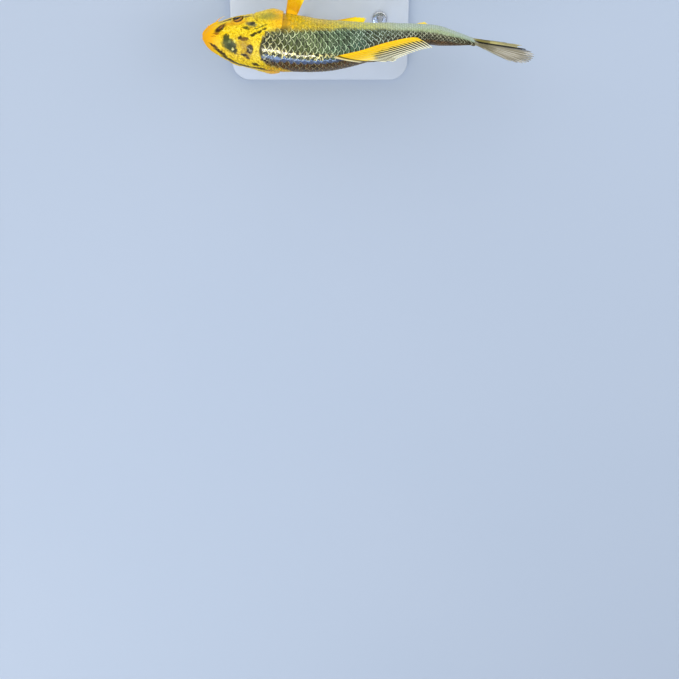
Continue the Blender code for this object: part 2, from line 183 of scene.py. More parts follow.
def meshFrom(name, points, faces, edges=()):
    mesh = bpy.data.meshes.new(name)
    mesh.from_pydata([tuple(p) for p in points], list(edges), faces)
    return mesh


def smoothMesh(name, points, faces, sharpFrom=None):
    mesh = meshFrom(name, points, faces)
    mesh.shade_smooth()
    if sharpFrom:
        mesh.set_sharp_from_angle(angle=math.radians(sharpFrom))
    return mesh


def store(mesh, values, kind="FLOAT", domain="POINT"):
    for name, numbers in values.items():
        data = mesh.attributes.new(name, kind, domain).data
        key = "vector" if kind == "FLOAT_VECTOR" else "value"
        data.foreach_set(key, np.ravel(numbers).astype(np.float32))


def readFloats(mesh, name):
    values = np.empty(len(mesh.vertices), np.float32)
    mesh.attributes[name].data.foreach_get("value", values)
    return values


def cornerPoints(mesh):  # the point at each corner of the faces
    corner = np.empty(len(mesh.loops), int)
    mesh.loops.foreach_get("vertex_index", corner)
    return corner


def addBakeMap(mesh, along, across):
    layer = mesh.uv_layers.new(name="OFBake")
    layer.data.foreach_set("uv", np.stack([along, across], axis=-1).astype(np.float32).ravel())


def gridFaces(rows, columns, closed=True):
    along = np.arange(rows - 1)[:, None] * columns
    across = np.arange(columns if closed else columns - 1)
    a, b = along + across, along + (across + 1) % columns
    return np.stack([a, b, b + columns, a + columns], axis=-1).reshape(-1, 4).tolist()


def turnedFaces(rings, sides):  # a closed form round an axis, with a point at each end
    last = rings * sides + 1
    faces = [tuple(1 + i for i in f) for f in gridFaces(rings, sides)]
    for j in range(sides):
        after = (j + 1) % sides
        faces += [(0, 1 + after, 1 + j), (last, last - sides + j, last - sides + after)]
    return faces


def linear(shade):  # three numbers from 0 to 255, as seen, become the linear colour that shaders take
    if not isinstance(shade, (tuple, list)) or len(shade) != 3:
        return shade
    seen = np.array(shade) / 255.0
    values = np.where(seen <= 0.04045, seen / 12.92, ((seen + 0.055) / 1.055) ** 2.4)
    return (*[float(c) for c in values], 1.0)


class Nodes:
    # short ways to add and join the nodes of one tree
    def __init__(self, tree):
        self.tree = tree

    def add(self, kind, settings=None, **inputs):
        made = self.tree.nodes.new(kind)
        for key, value in (settings or {}).items():
            setattr(made, key, value)
        for key, value in inputs.items():
            self.feed(made, key.replace("_", " "), value)
        return made

    def feed(self, made, key, value):  # key: a socket's name or its number
        socket = made.inputs[key]
        if isinstance(value, bpy.types.NodeSocket):
            self.tree.links.new(value, socket)
        else:
            socket.default_value = value

    def feedAll(self, made, *values):  # in the order of the sockets
        for i, value in enumerate(values):
            self.feed(made, i, value)
        return made

    def math(self, operation, *values):
        return self.feedAll(self.add("ShaderNodeMath", {"operation": operation}), *values).outputs[0]

    def plus(self, a, b):
        return self.math("ADD", a, b)

    def minus(self, a, b):
        return self.math("SUBTRACT", a, b)

    def times(self, first, *others):
        for value in others:
            first = self.math("MULTIPLY", first, value)
        return first

    def line(self, value, slope, start):
        return self.math("MULTIPLY_ADD", value, slope, start)

    def larger(self, a, b):
        return self.math("MAXIMUM", a, b)

    def span(self, value, low, high, bottom=0.0, top=1.0):  # a smooth step
        made = self.add("ShaderNodeMapRange", {"interpolation_type": "SMOOTHSTEP"})
        return self.feedAll(made, value, low, high, bottom, top).outputs["Result"]

    def window(self, value, rise, fall):  # up over the one range and down over the other
        return self.times(self.span(value, *rise), self.span(value, *fall))

    def mix(self, amount, a, b):
        made = self.add("ShaderNodeMix", {"data_type": "RGBA"})
        for key, value in ((0, amount), (6, linear(a)), (7, linear(b))):
            self.feed(made, key, value)
        return made.outputs[2]

    def paint(self, under, shade, *amounts):  # a colour laid over another, by the product of the amounts
        return self.mix(self.times(*amounts), under, shade)

    def noise(self, scale, detail=2.0, roughness=0.5, vector=None):
        made = self.add("ShaderNodeTexNoise", Scale=scale, Detail=detail, Roughness=roughness)
        self.feed(made, "Vector", vector or self.add("ShaderNodeTexCoord").outputs["Object"])
        return made.outputs["Fac"]

    def speckle(self, low, high, *noise):
        return self.span(self.noise(*noise), low, high)

    def drift(self, *noise):  # noise about nought
        return self.minus(self.noise(*noise), 0.5)

    def attribute(self, name):
        return self.add("ShaderNodeAttribute", {"attribute_name": name}).outputs["Fac"]

    def ramp(self, value, stops, interpolation="EASE"):  # stops: place, colour
        made = self.add("ShaderNodeValToRGB", Fac=value)
        made.color_ramp.interpolation = interpolation
        elements = made.color_ramp.elements
        while len(elements) > 1:
            elements.remove(elements[-1])
        elements[0].position, elements[0].color = stops[0][0], linear(stops[0][1])
        for place, shade in stops[1:]:
            elements.new(place).color = linear(shade)
        return made.outputs["Color"]

    def group(self, tree, **inputs):
        return self.add("ShaderNodeGroup", {"node_tree": tree}, **inputs)

    def relief(self, shader, strength, distance, height):
        made = self.add("ShaderNodeBump", Strength=strength, Distance=distance, Height=height)
        self.feed(shader, "Normal", made.outputs[0])

    def roughen(self, shader, low, high, *noise):
        self.feed(shader, "Roughness", self.span(self.noise(*noise), 0.3, 0.7, low, high))


def startTree(name, kind, inputs, outputs):  # inputs and outputs: the label and kind of each socket
    tree = bpy.data.node_groups.new(name, kind + "NodeTree")
    for way, sockets in (("INPUT", inputs), ("OUTPUT", outputs)):
        for label, socket in sockets:
            tree.interface.new_socket(label, in_out=way, socket_type="NodeSocket" + socket)
    return tree, Nodes(tree), tree.nodes.new("NodeGroupInput").outputs, tree.nodes.new("NodeGroupOutput")


def startMaterial(name, **settings):
    made = bpy.data.materials.new(name)
    made.use_nodes = True
    shader = made.node_tree.nodes["Principled BSDF"]
    for key, value in settings.items():
        shader.inputs[key.replace("_", " ")].default_value = value
    return made, Nodes(made.node_tree), shader


# Markings, shared by skin and scales.
# each spot: station, around, half length (station), half width (degrees), turn, softness, strength, colour
spots = (
    (0.012, 5, 0.036, 120, 0, 0.95, 0.9, (255, 178, 0)),  # orange snout
    (0.305, 78, 0.045, 26, 0, 0.7, 0.6, (255, 176, 6)),  # golden rear of the gill cover
    (0.300, -60, 0.050, 40, 0, 0.7, 0.6, (250, 166, 14)),
    (0.255, 78, 0.040, 9, 10, 0.75, 0.75, (134, 138, 60)),  # olive on the gill cover
    (0.124, 68, 0.050, 8, 4, 0.5, 0.8, (232, 166, 8)),  # brow over the right eye
    # a long dark line at the right eye: the eye's rim with painted shadow under the brow
    (0.120, 88, 0.062, 4.0, 2, 0.35, 0.95, (40, 28, 8)),
    (0.094, 21, 0.014, 11, 0, 0.35, 0.95, (50, 62, 10)),  # forehead blotch
    (0.102, 6, 0.023, 15, 0, 0.35, 0.95, (58, 72, 16)),
    (0.118, 2, 0.019, 14, 0, 0.35, 0.95, (44, 58, 12)),
    (0.130, -6, 0.010, 8, 0, 0.4, 0.9, (24, 32, 8)),
    (0.127, 14, 0.0050, 3.0, 0, 0.5, 0.9, (235, 228, 110)),
    (0.122, -4, 0.0045, 2.6, 0, 0.5, 0.9, (240, 232, 150)),
    (0.108, 12, 0.006, 4, 0, 0.6, 0.5, (150, 160, 90)),
    (0.067, 55, 0.016, 19, -9, 0.35, 0.95, (44, 18, 2)),  # round the right nostril
    (0.071, 60, 0.0040, 7, -9, 0.5, 0.75, (190, 122, 16)),
    (0.055, 34, 0.014, 4, 40, 0.6, 0.75, (140, 58, 2)),
    (0.045, 24, 0.010, 3, 60, 0.6, 0.6, (170, 80, 2)),
    (0.046, -10, 0.030, 3.4, -68, 0.35, 0.95, (56, 22, 2)),  # the long line from the left nostril, running on as painted shadow of the left eye and cheek
    (0.075, -25, 0.046, 5.0, -65, 0.35, 0.95, (38, 16, 4)),
    (0.107, -42, 0.036, 6.0, -62, 0.35, 0.95, (30, 16, 6)),
    (0.138, -51, 0.026, 6.4, -12, 0.35, 0.95, (30, 18, 6)),
    (0.172, -48, 0.026, 5.4, 30, 0.35, 0.95, (30, 20, 6)),
    (0.208, -44, 0.016, 3.6, 20, 0.35, 0.9, (46, 26, 6)),
    (0.162, 23.0, 0.020, 3.6, -6, 0.35, 0.95, (48, 28, 4)),  # marks on the crown
    (0.148, 24.5, 0.007, 5.0, 0, 0.4, 0.95, (34, 20, 4)),
    (0.166, 12, 0.020, 13, 0, 0.8, 0.6, (150, 104, 10)),
    (0.180, -8, 0.016, 10, 0, 0.8, 0.6, (150, 100, 10)),
    (0.188, 3.0, 0.0130, 8.6, 0, 0.22, 0.97, (24, 14, 2)),
    (0.186, 2.0, 0.0052, 4.0, 30, 0.4, 0.9, (190, 174, 128)),
    (0.167, -11, 0.015, 3.2, 8, 0.35, 0.95, (34, 22, 4)),
    (0.182, -16, 0.008, 3.0, 20, 0.4, 0.9, (46, 30, 6)),
    (0.189, 60, 0.019, 8, 20, 0.4, 0.9, (92, 94, 70)),  # right cheek
    (0.171, 49, 0.012, 5, 30, 0.4, 0.9, (54, 66, 8)),
    (0.193, 62, 0.010, 4, 0, 0.4, 0.9, (44, 44, 36)),
    (0.196, 32, 0.010, 2.4, 30, 0.4, 0.95, (30, 32, 4)),  # broken strokes on the nape
    (0.205, 36, 0.014, 1.9, 62, 0.35, 0.95, (36, 44, 4)),
    (0.222, 41, 0.015, 1.9, 58, 0.35, 0.95, (34, 42, 4)),
    (0.240, 48, 0.015, 1.7, 58, 0.35, 0.9, (50, 60, 8)),
    (0.208, 47, 0.013, 1.5, 50, 0.35, 0.85, (76, 86, 8)),
    (0.228, 53, 0.013, 1.4, 52, 0.35, 0.85, (90, 98, 10)),
    (0.246, 58, 0.010, 1.3, 50, 0.4, 0.7, (120, 120, 16)),
    (0.214, -30, 0.015, 5, 30, 0.35, 0.92, (32, 22, 4)),  # speckles on the left gill cover
    (0.236, -43, 0.024, 4.5, 30, 0.35, 0.92, (32, 22, 4)),
    (0.262, -48, 0.020, 3, 0, 0.5, 0.8, (140, 74, 6)),
)
koiColours = {  # the ramps run over stations up to "reach", in shares of it
    "reach": 1.1,
    "yellow": (
        (0.00, (255, 186, 2)), (0.06, (255, 212, 4)), (0.20, (255, 220, 20)), (0.30, (252, 206, 14)),
        (0.41, (248, 214, 44)), (0.51, (242, 224, 72)), (0.61, (232, 228, 100)), (0.72, (196, 212, 148)),
        (0.95, (172, 192, 158)),
    ),
    "back": (
        (0.20, (46, 44, 4)), (0.27, (88, 94, 34)), (0.38, (116, 132, 76)), (0.49, (88, 120, 88)),
        (0.56, (76, 112, 92)), (0.62, (78, 82, 58)), (0.72, (76, 72, 58)), (0.86, (98, 90, 64)),
        (0.95, (104, 94, 68)),
    ),
    "scaleEdge": (
        (0.20, (250, 246, 190)), (0.35, (224, 236, 178)), (0.50, (200, 228, 184)), (0.60, (212, 232, 208)),
        (0.80, (212, 214, 178)),
    ),
    # the dark back lies between these two: station, degrees
    "darkRight": ((0.222, 2), (0.226, 14), (0.232, 27), (0.251, 41), (0.281, 46), (0.31, 51), (0.373, 59),
                  (0.434, 65), (0.561, 69), (0.698, 59), (0.805, 40), (0.915, 24), (0.993, 28)),
    "darkLeft": ((0.222, 2), (0.232, -10), (0.252, -24), (0.303, -31), (0.34, -44), (0.38, -64),
                 (0.46, -92), (0.95, -98), (1.0, -150)),
}
degreesPerStation = 1 / 0.0042  # round the body a degree is about this share of its length


def buildSpotGroup():  # a soft turned oval
    labels = ("Station", "Around", "Middle Station", "Middle Around",
              "Half Length", "Half Width", "Turn", "Softness")
    inputs = [(label, "Float") for label in labels]
    tree, n, given, out = startTree("spot", "Shader", inputs, [("Mask", "Float")])
    dx = n.times(n.minus(given["Station"], given["Middle Station"]), degreesPerStation)
    dy = n.minus(given["Around"], given["Middle Around"])
    turn = n.math("RADIANS", given["Turn"])
    c, s = n.math("COSINE", turn), n.math("SINE", turn)
    half = n.times(given["Half Length"], degreesPerStation)
    along = n.math("DIVIDE", n.plus(n.times(dx, c), n.times(dy, s)), half)
    across = n.math("DIVIDE", n.minus(n.times(dy, c), n.times(dx, s)), given["Half Width"])
    away = n.math("SQRT", n.plus(n.times(along, along), n.times(across, across)))
    soft = given["Softness"]
    n.feed(out, "Mask", n.span(away, n.minus(1.0, soft), n.plus(1.0, soft), 1.0, 0.0))
    return tree


def buildMarkings():
    spot = buildSpotGroup()
    tree, n, given, out = startTree("koiMarkings", "Shader", [("Station", "Float"), ("Around", "Float")],
                                    [("Colour", "Color"), ("Dark", "Float"), ("Edge Colour", "Color")])
    station, around = given["Station"], given["Around"]
    share = n.math("DIVIDE", station, koiColours["reach"])
    ragged = n.drift(520.0, 4.0, 0.65)
    # head and flanks
    yellow = n.ramp(share, koiColours["yellow"])
    base = n.paint(yellow, (240, 232, 190), n.span(n.math("ABSOLUTE", around), 112.0, 160.0), 0.75)
    head = n.window(station, (0.03, 0.10), (0.36, 0.28))
    grain = n.noise(500.0, 5.0, 0.80)
    layers = (
        ((226, 170, 14), n.speckle(0.52, 0.72, 260.0, 4.0, 0.65), 0.25),
        ((172, 150, 30), n.window(station, (0.30, 0.36), (0.66, 0.50)),
         n.speckle(0.46, 0.60, 330.0, 3.0, 0.6), 0.60),
        ((176, 132, 0), n.span(grain, 0.51, 0.41), 0.80, head),
        ((255, 242, 110), n.span(grain, 0.54, 0.62), 0.62, head),
        ((160, 124, 10), n.span(station, 0.06, 0.15), n.speckle(0.55, 0.64, 620.0, 4.0, 0.7), 0.66),
        ((214, 228, 216), n.span(around, 36.0, 66.0), n.span(station, 0.62, 0.84), 0.75),  # pale right stalk
    )
    for shade, *amounts in layers:
        base = n.paint(base, shade, *amounts)
    raggedStation = n.plus(station, n.times(ragged, 0.016))
    raggedAround = n.plus(around, n.times(ragged, 15.0))
    for place, turn, length, width, tilt, soft, strength, shade in spots:
        mask = n.group(spot, Station=raggedStation, Around=raggedAround, Middle_Station=place,
                       Middle_Around=turn, Half_Length=length, Half_Width=width, Turn=tilt,
                       Softness=soft).outputs[0]
        base = n.paint(base, shade, mask, strength)
    # the dark back
    back = n.ramp(share, koiColours["back"])
    back = n.paint(back, (156, 176, 128), n.span(around, 22.0, 38.0), 0.30)  # paler on the right flank
    back = n.paint(back, (74, 68, 22), n.span(around, 26.0, 10.0), n.span(station, 0.50, 0.40), 0.6)
    # brown on the left flank: partly its own colour, partly painted shade on the side away from the light
    leftBrownAndShade = n.span(around, -5.0, -17.0)
    back = n.paint(back, (118, 76, 34), leftBrownAndShade, 0.95)
    turned = n.plus(around, n.times(n.drift(90.0, 2.0, 0.5), 12.0))

    def beyond(rows):  # degrees past a limit, which is kept in a ramp as shares of 200 degrees
        stops = [(place / koiColours["reach"], (degrees / 200 + 0.5,) * 3 + (1.0,))
                 for place, degrees in rows]
        return n.minus(turned, n.times(n.minus(n.ramp(share, stops, "LINEAR"), 0.5), 200.0))

    dark = n.times(n.span(beyond(koiColours["darkRight"]), 9.0, -9.0),
                   n.span(beyond(koiColours["darkLeft"]), -6.0, 6.0), n.span(station, 0.219, 0.227))
    edge = n.paint(n.ramp(share, koiColours["scaleEdge"]), (150, 108, 60), leftBrownAndShade, 0.8)
    lightFlank = n.mix(n.span(station, 0.52, 0.72), (255, 244, 110), (232, 238, 214))
    n.feed(out, "Colour", n.mix(dark, base, back))
    n.feed(out, "Dark", dark)
    n.feed(out, "Edge Colour", n.mix(dark, n.mix(0.60, yellow, lightFlank), edge))
    return tree


def makeSkinMaterial(markings):
    made, n, shader = startMaterial("koi_skin", Coat_Roughness=0.10, Specular_IOR_Level=0.10)
    marks = n.group(markings, Station=n.attribute("station"), Around=n.attribute("around"))
    # painted shade in the folds and grooves of the head and in the gill opening
    shade = n.paint(marks.outputs["Colour"], (70, 34, 8), n.attribute("creaseShade"), 0.8)
    shade = n.paint(shade, (160, 110, 20), n.speckle(0.56, 0.72, 1400.0, 3.0, 0.6), 0.10)
    n.feed(shader, "Base Color", shade)
    side = n.span(n.math("ABSOLUTE", n.attribute("around")), 34.0, 64.0)  # the top of the head is duller
    uneven = n.span(n.noise(300.0, 3.0), 0.3, 0.7, 0.26, 0.42)
    n.feed(shader, "Roughness", n.plus(uneven, n.line(side, -0.20, 0.20)))
    n.feed(shader, "Coat Weight", n.line(side, 0.16, 0.01))
    n.relief(shader, 0.25, 0.0004, n.plus(n.noise(1500.0, 3.0, 0.6), n.times(n.noise(300.0), 1.5)))
    return made


def makeScaleMaterial(markings):
    made, n, shader = startMaterial("koi_scales", Coat_Roughness=0.09, Specular_IOR_Level=0.07)
    station, around, tint = (n.attribute(name) for name in ("station", "around", "shade"))
    u, v = n.attribute("scaleU"), n.attribute("scaleV")
    marks = n.group(markings, Station=station, Around=around).outputs
    dark = marks["Dark"]
    rounded = n.math("SQRT", n.line(n.times(v, v), -scaleCoat["round"], 1.0))
    rear = n.minus(1.0, n.times(n.minus(1.0, rounded), scaleCoat["taper"]))
    inner = n.plus(n.minus(rear, u), n.times(n.drift(900.0, 3.0, 0.6), 0.08))  # 0 at the free edge
    # where the sky's reflection is painted, beside the ridge; the pale net is fainter there
    paintedReflection = n.times(n.window(around, (-2.0, -5.0), (-16.0, -12.0)),
                   n.window(station, (0.25, 0.30), (0.60, 0.50)))
    ridge = n.times(n.window(around, (-5.0, -1.0), (16.0, 11.0)),
                    n.window(station, (0.225, 0.26), (0.56, 0.46)))
    front = n.times(n.span(station, 0.33, 0.25), dark)
    worn = n.span(n.noise(350.0), 0.32, 0.60, 0.25, 1.0)
    rim = n.times(n.span(inner, 0.112, 0.050), worn, n.line(tint, 0.40, 0.70), n.line(paintedReflection, -0.6, 1.0))
    border = n.larger(n.span(inner, 0.26, 0.10), n.span(u, 0.78, 0.50))
    quiet = n.mix(n.span(station, 0.42, 0.62), (146, 116, 6), (96, 112, 88))
    paintedGlints = n.larger(n.speckle(0.57, 0.63, 640.0, 2.0, 0.6), n.times(n.span(inner, 0.16, 0.08), ridge))
    shade = marks["Colour"]
    layers = (
        (n.mix(dark, quiet, (22, 26, 12)), border, n.line(dark, 0.32, 0.56)),  # painted shadow round each scale where its neighbours overlap it, with the dark pigment at its base
        ((180, 190, 150), n.speckle(0.55, 0.75, 1100.0, 3.0, 0.7), 0.30, dark),
        ((30, 32, 16), n.speckle(0.30, 0.66, 150.0, 3.0, 0.6),
         n.line(tint, 0.8, 0.1), n.line(dark, 0.80, 0.14)),
        (marks["Edge Colour"], rim, n.line(dark, 0.38, 0.60)),  # the pale net
        ((20, 20, 10), n.larger(front, ridge), n.speckle(0.46, 0.56, 520.0), 0.75),
        # painted highlights: cream glints on the scales along the ridge and at the front of the dark back
        ((255, 242, 160), paintedGlints, n.larger(n.times(front, 0.7), ridge),
         n.speckle(0.42, 0.52, 300.0, 1.0), 0.95),
        ((84, 104, 146), paintedReflection, 0.60),  # bluish painted reflection of the sky, beside the ridge
    )
    for over, *amounts in layers:
        shade = n.paint(shade, over, *amounts)
    n.feed(shader, "Base Color", shade)
    n.roughen(shader, 0.22, 0.40, 500.0)
    gloss = n.times(n.span(around, -42.0, -14.0, 0.06, 0.28), n.span(station, 1.0, 0.90, 0.1, 1.0))
    n.feed(shader, "Coat Weight", gloss)
    rings = n.math("SINE", n.times(inner, 190.0))
    n.relief(shader, 0.2, 0.0003, n.plus(n.times(rings, 0.25), n.noise(1200.0, 3.0)))
    return made


# The skin is one closed surface from the snout to the root of the tail fin.
skinShape = {
    "columns": 288,
    "headRows": 170,
    "bodyRows": 84,
    "bunched": 0.19,  # how far the columns draw together at the sides
    "gapeTop": (48, 60), "gapeBottom": (172, 158),  # degrees over which a cover comes to stand off the body
    "coatDepth": 0.00055,  # metres that the skin lies under the coat of scales
    "eyeStation": 0.135,
    "eyeAround": 82,
    "eyeRadius": 0.0054,
    "eyeProud": 0.0016,
    "mouthHeight": -0.012,
    "mouthSlope": -0.30,
    "mouthLength": 0.060,
    "nostrils": ((0.060, 50), (0.076, 53)),  # station, degrees
    # folds and their painted shadows: height or darkness, distance from the middle, width
    "eyeFolds": ((0.0009, 0, 0.0085), (0.00042, 0.0057, 0.0007), (-0.00035, 0.0076, 0.0011)),
    "eyeShadows": ((0.5, 0.0049, 0.0006), (0.25, 0.0076, 0.0007)),
    "socketDepth": 0.0034,
    "nostrilFolds": ((-0.0013, 0, 0.0008), (0.0003, 0.0016, 0.0006)),
    "nostrilShadows": ((0.9, 0, 0.0008),),
    # height, station and its width, degrees and their width
    "brows": ((0.0005, 0.14, 0.05, 32, 14), (-0.0004, 0.12, 0.05, 0, 14)),
    "coverTop": (46, 60), "coverBottom": (166, 150),  # degrees over which the cover's forms begin and end
    "coverLines": 44, "coverLineHeight": 0.00009,
    "throatFold": 0.0007,
    "tailCap": 0.004,  # of station, past the end of the flesh
    "mapMargin": 0.004,
    "mouthFolds": ((-0.0013, 0, 0.0026), (0.0008, 0.009, 0.0055), (0.0007, -0.009, 0.0055),
                   (-0.0008, 0.0225, 0.0045), (-0.0007, -0.0235, 0.0050)),
    "mouthShadows": ((1.0, 0, 0.0024), (0.16, 0.0225, 0.0040), (0.14, -0.0235, 0.0045)),
    "rimStep": 0.0022,  # of station, where there is no gill opening
    "coverRim": (  # behind the cover's edge: station, sink, darkness of the painted shade in the gill opening
        (0.003, -0.012, 0.0), (0.0035, -0.030, 0.1), (0.001, -0.045, 0.5), (-0.008, -0.05, 1.0),
        (-0.010, -0.075, 1.0), (0.000, -0.075, 1.0), (0.006, -0.06, 0.8),
    ),
}


def straightMetres(station, around):
    return stack(*section(np.float64(station), np.float64(around))) * unit


def folds(name, away):
    return sum(size * bump(away, place, width) for size, place, width in skinShape[name])


def headRelief(station, around):  # metres that the skin rises, and how dark the painted shade in its folds is
    here, angle = straightMetres(station, around), np.abs(around)
    lift, creaseShade = np.zeros(station.shape), np.zeros(station.shape)
    for side in (1, -1):
        eye = straightMetres(skinShape["eyeStation"], side * skinShape["eyeAround"])
        away = np.linalg.norm(here - eye, axis=-1)
        lift += folds("eyeFolds", away) - skinShape["socketDepth"] * ramp(0.0053, 0.0034, away)
        creaseShade += folds("eyeShadows", away)
        for place, turn in skinShape["nostrils"]:
            hole = np.linalg.norm(here - straightMetres(place, side * turn), axis=-1)
            lift += folds("nostrilFolds", hole)
            creaseShade += folds("nostrilShadows", hole)
    height = section(station, around)[2]
    mouth = height - (skinShape["mouthHeight"] + skinShape["mouthSlope"] * station)
    front = 1 - ramp(skinShape["mouthLength"] - 0.012, skinShape["mouthLength"] + 0.004, station)
    lift += front * folds("mouthFolds", mouth)
    creaseShade += front * folds("mouthShadows", mouth)
    corner = height - (skinShape["mouthHeight"] + skinShape["mouthSlope"] * skinShape["mouthLength"])
    fold = bump(station, 0.072 - 0.55 * corner, 0.0030) * bump(corner, -0.002, 0.020)  # behind the mouth
    cover = ramp(*skinShape["coverTop"], angle) * ramp(*skinShape["coverBottom"], angle)
    groove = station - cheekEdge(around)
    bow = 0.000008 * (angle - 100) ** 2 - 0.036
    rear = bump(groove, bow, 0.0045) * bump(angle, 104, 30)  # ahead of the cover
    creaseShade += 0.22 * fold + 0.35 * cover * bump(groove, 0, 0.004) + 0.12 * rear
    lift += cover * (0.0004 * bump(groove, 0.013, 0.007) - 0.0006 * bump(groove, 0, 0.0045))
    lift -= 0.0006 * fold + 0.0005 * rear
    spread = np.arctan2((angle - 52) / 60, np.maximum(groove, 0.001) / 0.09)
    lines = skinShape["coverLineHeight"] * np.sin(spread * skinShape["coverLines"])  # they fan over the cover
    lift += cover * ramp(0.012, 0.035, groove) * lines
    for height, place, long, turn, wide in skinShape["brows"]:
        lift += height * bump(station, place, long) * bump(angle, turn, wide)
    lift -= skinShape["throatFold"] * bump(angle, 163, 5) * ramp(0.07, 0.12, station)
    return lift, np.clip(creaseShade, 0, 1)


def gridNormals(points):
    along = np.gradient(points, axis=0)
    wrapped = np.concatenate([points[:, -1:], points, points[:, :1]], axis=1)
    return unitVectors(np.cross(along, (wrapped[:, 2:] - wrapped[:, :-2]) / 2))


def skinGrid():
    turns = np.radians(np.arange(skinShape["columns"]) * 360.0 / skinShape["columns"] - 180.0)
    around = np.degrees(turns + skinShape["bunched"] * np.sin(2 * turns))
    around = np.clip(around, -180, 180)[None, :]
    edge, flare, angle = gillEdge(around), gillFlare(gillEdge(around), around), np.abs(around)
    gape = ramp(*skinShape["gapeTop"], angle) * ramp(*skinShape["gapeBottom"], angle)
    rings = []  # station, share of the section, lift, painted shade in the folds
    for k in range(1, skinShape["headRows"] + 1):
        t = k / skinShape["headRows"]
        s = edge * (0.55 * t + 0.45 * t * t if t < 1 else 1.0)
        rings.append((s, 1 + gillFlare(s, around), *headRelief(s, around)))
    for k, (behind, sink, tone) in enumerate(skinShape["coverRim"]):
        low = 1 + flare + sink if k < 3 else 1 + sink * 0.6
        s = edge + gape * behind + (1 - gape) * skinShape["rimStep"] * (k + 1)
        rings.append((s, gape * low + (1 - gape), np.zeros(edge.shape), gape * tone))
    first = skinShape["rimStep"] * (len(skinShape["coverRim"]) + 1)
    for k in range(skinShape["bodyRows"] + 1):
        t = k / skinShape["bodyRows"]
        s = edge + first + (fishBody["fleshEnd"] - edge - first) * t
        sunk = ramp(0.0, 0.03, s - edge) * (1 - 0.45 * t)
        narrow = 1 - 0.03 * gape * (1 - ramp(0, 0.02, s - edge))
        shadow = 0.7 * gape * (1 - ramp(0.0, 0.012, s - edge - first))
        rings.append((s, narrow, -skinShape["coatDepth"] * sunk, shadow))
    station, share, lift, creaseShade = (np.concatenate(values) for values in zip(*rings))
    return station, np.broadcast_to(around, station.shape), share, lift, creaseShade


def makeSkin(material):
    station, around, share, lift, creaseShade = skinGrid()
    base = posed(*section(station, around, share))
    points = base + gridNormals(base) * lift[..., None]
    rows, columns = station.shape
    ends = (0, fishBody["fleshEnd"] + skinShape["tailCap"])
    poles = [posed(np.float64(s), np.float64(0), np.float64(0)) for s in ends]
    faces = [f[::-1] for f in gridFaces(rows, columns)]
    nose, last = rows * columns, (rows - 1) * columns
    for k in range(columns):
        after = (k + 1) % columns
        faces += [(k, after, nose), (last + after, last + k, nose + 1)]
    mesh = smoothMesh("koi_skin", np.concatenate([points.reshape(-1, 3), poles]), faces)
    stations = np.append(station, (0.0, fishBody["fleshEnd"]))
    store(mesh, {"station": stations, "creaseShade": np.append(creaseShade, (0, 0))})
    corner = cornerPoints(mesh)
    row, column = corner // columns, corner % columns
    face = np.repeat(np.arange(len(mesh.polygons)), [len(p.vertices) for p in mesh.polygons])
    atEnd = np.zeros(len(mesh.polygons), bool)
    np.logical_or.at(atEnd, face, column == columns - 1)
    wrapped = (column == 0) & atEnd[face]  # the last faces close the ring, and nothing shows there
    angles = np.where(wrapped, 180.0, np.append(around, (0.0, 0.0))[corner])
    store(mesh, {"around": angles}, domain="CORNER")
    pole, margin = corner >= nose, skinShape["mapMargin"]
    along = margin + (1 - 2 * margin) * row / (rows - 1)
    along = np.where(pole, np.where(corner == nose, 0.0, 1.0), along)
    addBakeMap(mesh, along, np.where(pole, 0.5, np.where(wrapped, 1.0, column / columns)))
    skin = makeObject("koi_skin", mesh, material)
    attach(skin, "root")
    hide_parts("head", "lower_jaw", "gill_cover_left", "gill_cover_right", "trunk", "tail_stalk")
    print("skin faces", len(mesh.polygons))


# The coat of scales: one scale is laid at each root, in rows that follow the body.
scaleCoat = {
    "rowsPerSide": 21,
    "pitch": ((0.20, 0.0270), (0.34, 0.0262), (0.45, 0.0240), (0.60, 0.0198), (0.80, 0.0165), (1.05, 0.0135)),
    "length": 1.75,  # of the pitch
    "width": 2.06,  # of the space between rows
    "thickness": 0.034,  # of the pitch
    "tilt": 3.4,
    "tiltSpread": 0.5,
    "twist": 0.06,
    "taper": 0.52,  # how far the free edge draws back to the sides
    "round": 0.90,
    "rootWidth": 0.78,  # of the full width, which it reaches at the next share of the length
    "fullWidthAt": 0.35,
    "rootDepth": 0.9,  # of the coat's depth
    "bendLimits": (5.0, 70.0),  # of its curve round the body, per metre
    "start": 0.165,
    "end": 1.035,
    "middle": 0.72,  # the share of a scale's length that its markings are read at
    "ownPlace": 0.7,  # how far the markings follow the place and not the whole scale
    "patch": 0.003,
    "onBackFin": (0.49, 0.82),  # stations with no scale, where a fin stands
    "onAnalFin": (0.74, 0.83),
    "edgeAhead": 0.028,  # of station, how far the coat begins ahead of the gill opening
    "edgeArch": 0.016, "edgeDip": 0.012,  # more beside the nape, and less at the sides
}


def coatEdge(around):  # the station where the scales begin
    angle = np.abs(around)
    arch = scaleCoat["edgeArch"] * ramp(10, 30, angle) * ramp(56, 44, angle)
    return gillEdge(around) - scaleCoat["edgeAhead"] - arch + scaleCoat["edgeDip"] * ramp(44, 60, angle)


def arcTable():  # lengths round the body at even angles
    stations, angles = np.linspace(0.18, 1.07, 90), np.linspace(0, 180, 181)
    lengths = []
    for s in stations:
        _, y, z = section(np.full(angles.shape, s), angles)
        lengths.append(np.concatenate([[0], np.cumsum(np.hypot(np.diff(y), np.diff(z)))]))
    return stations, angles, np.array(lengths)


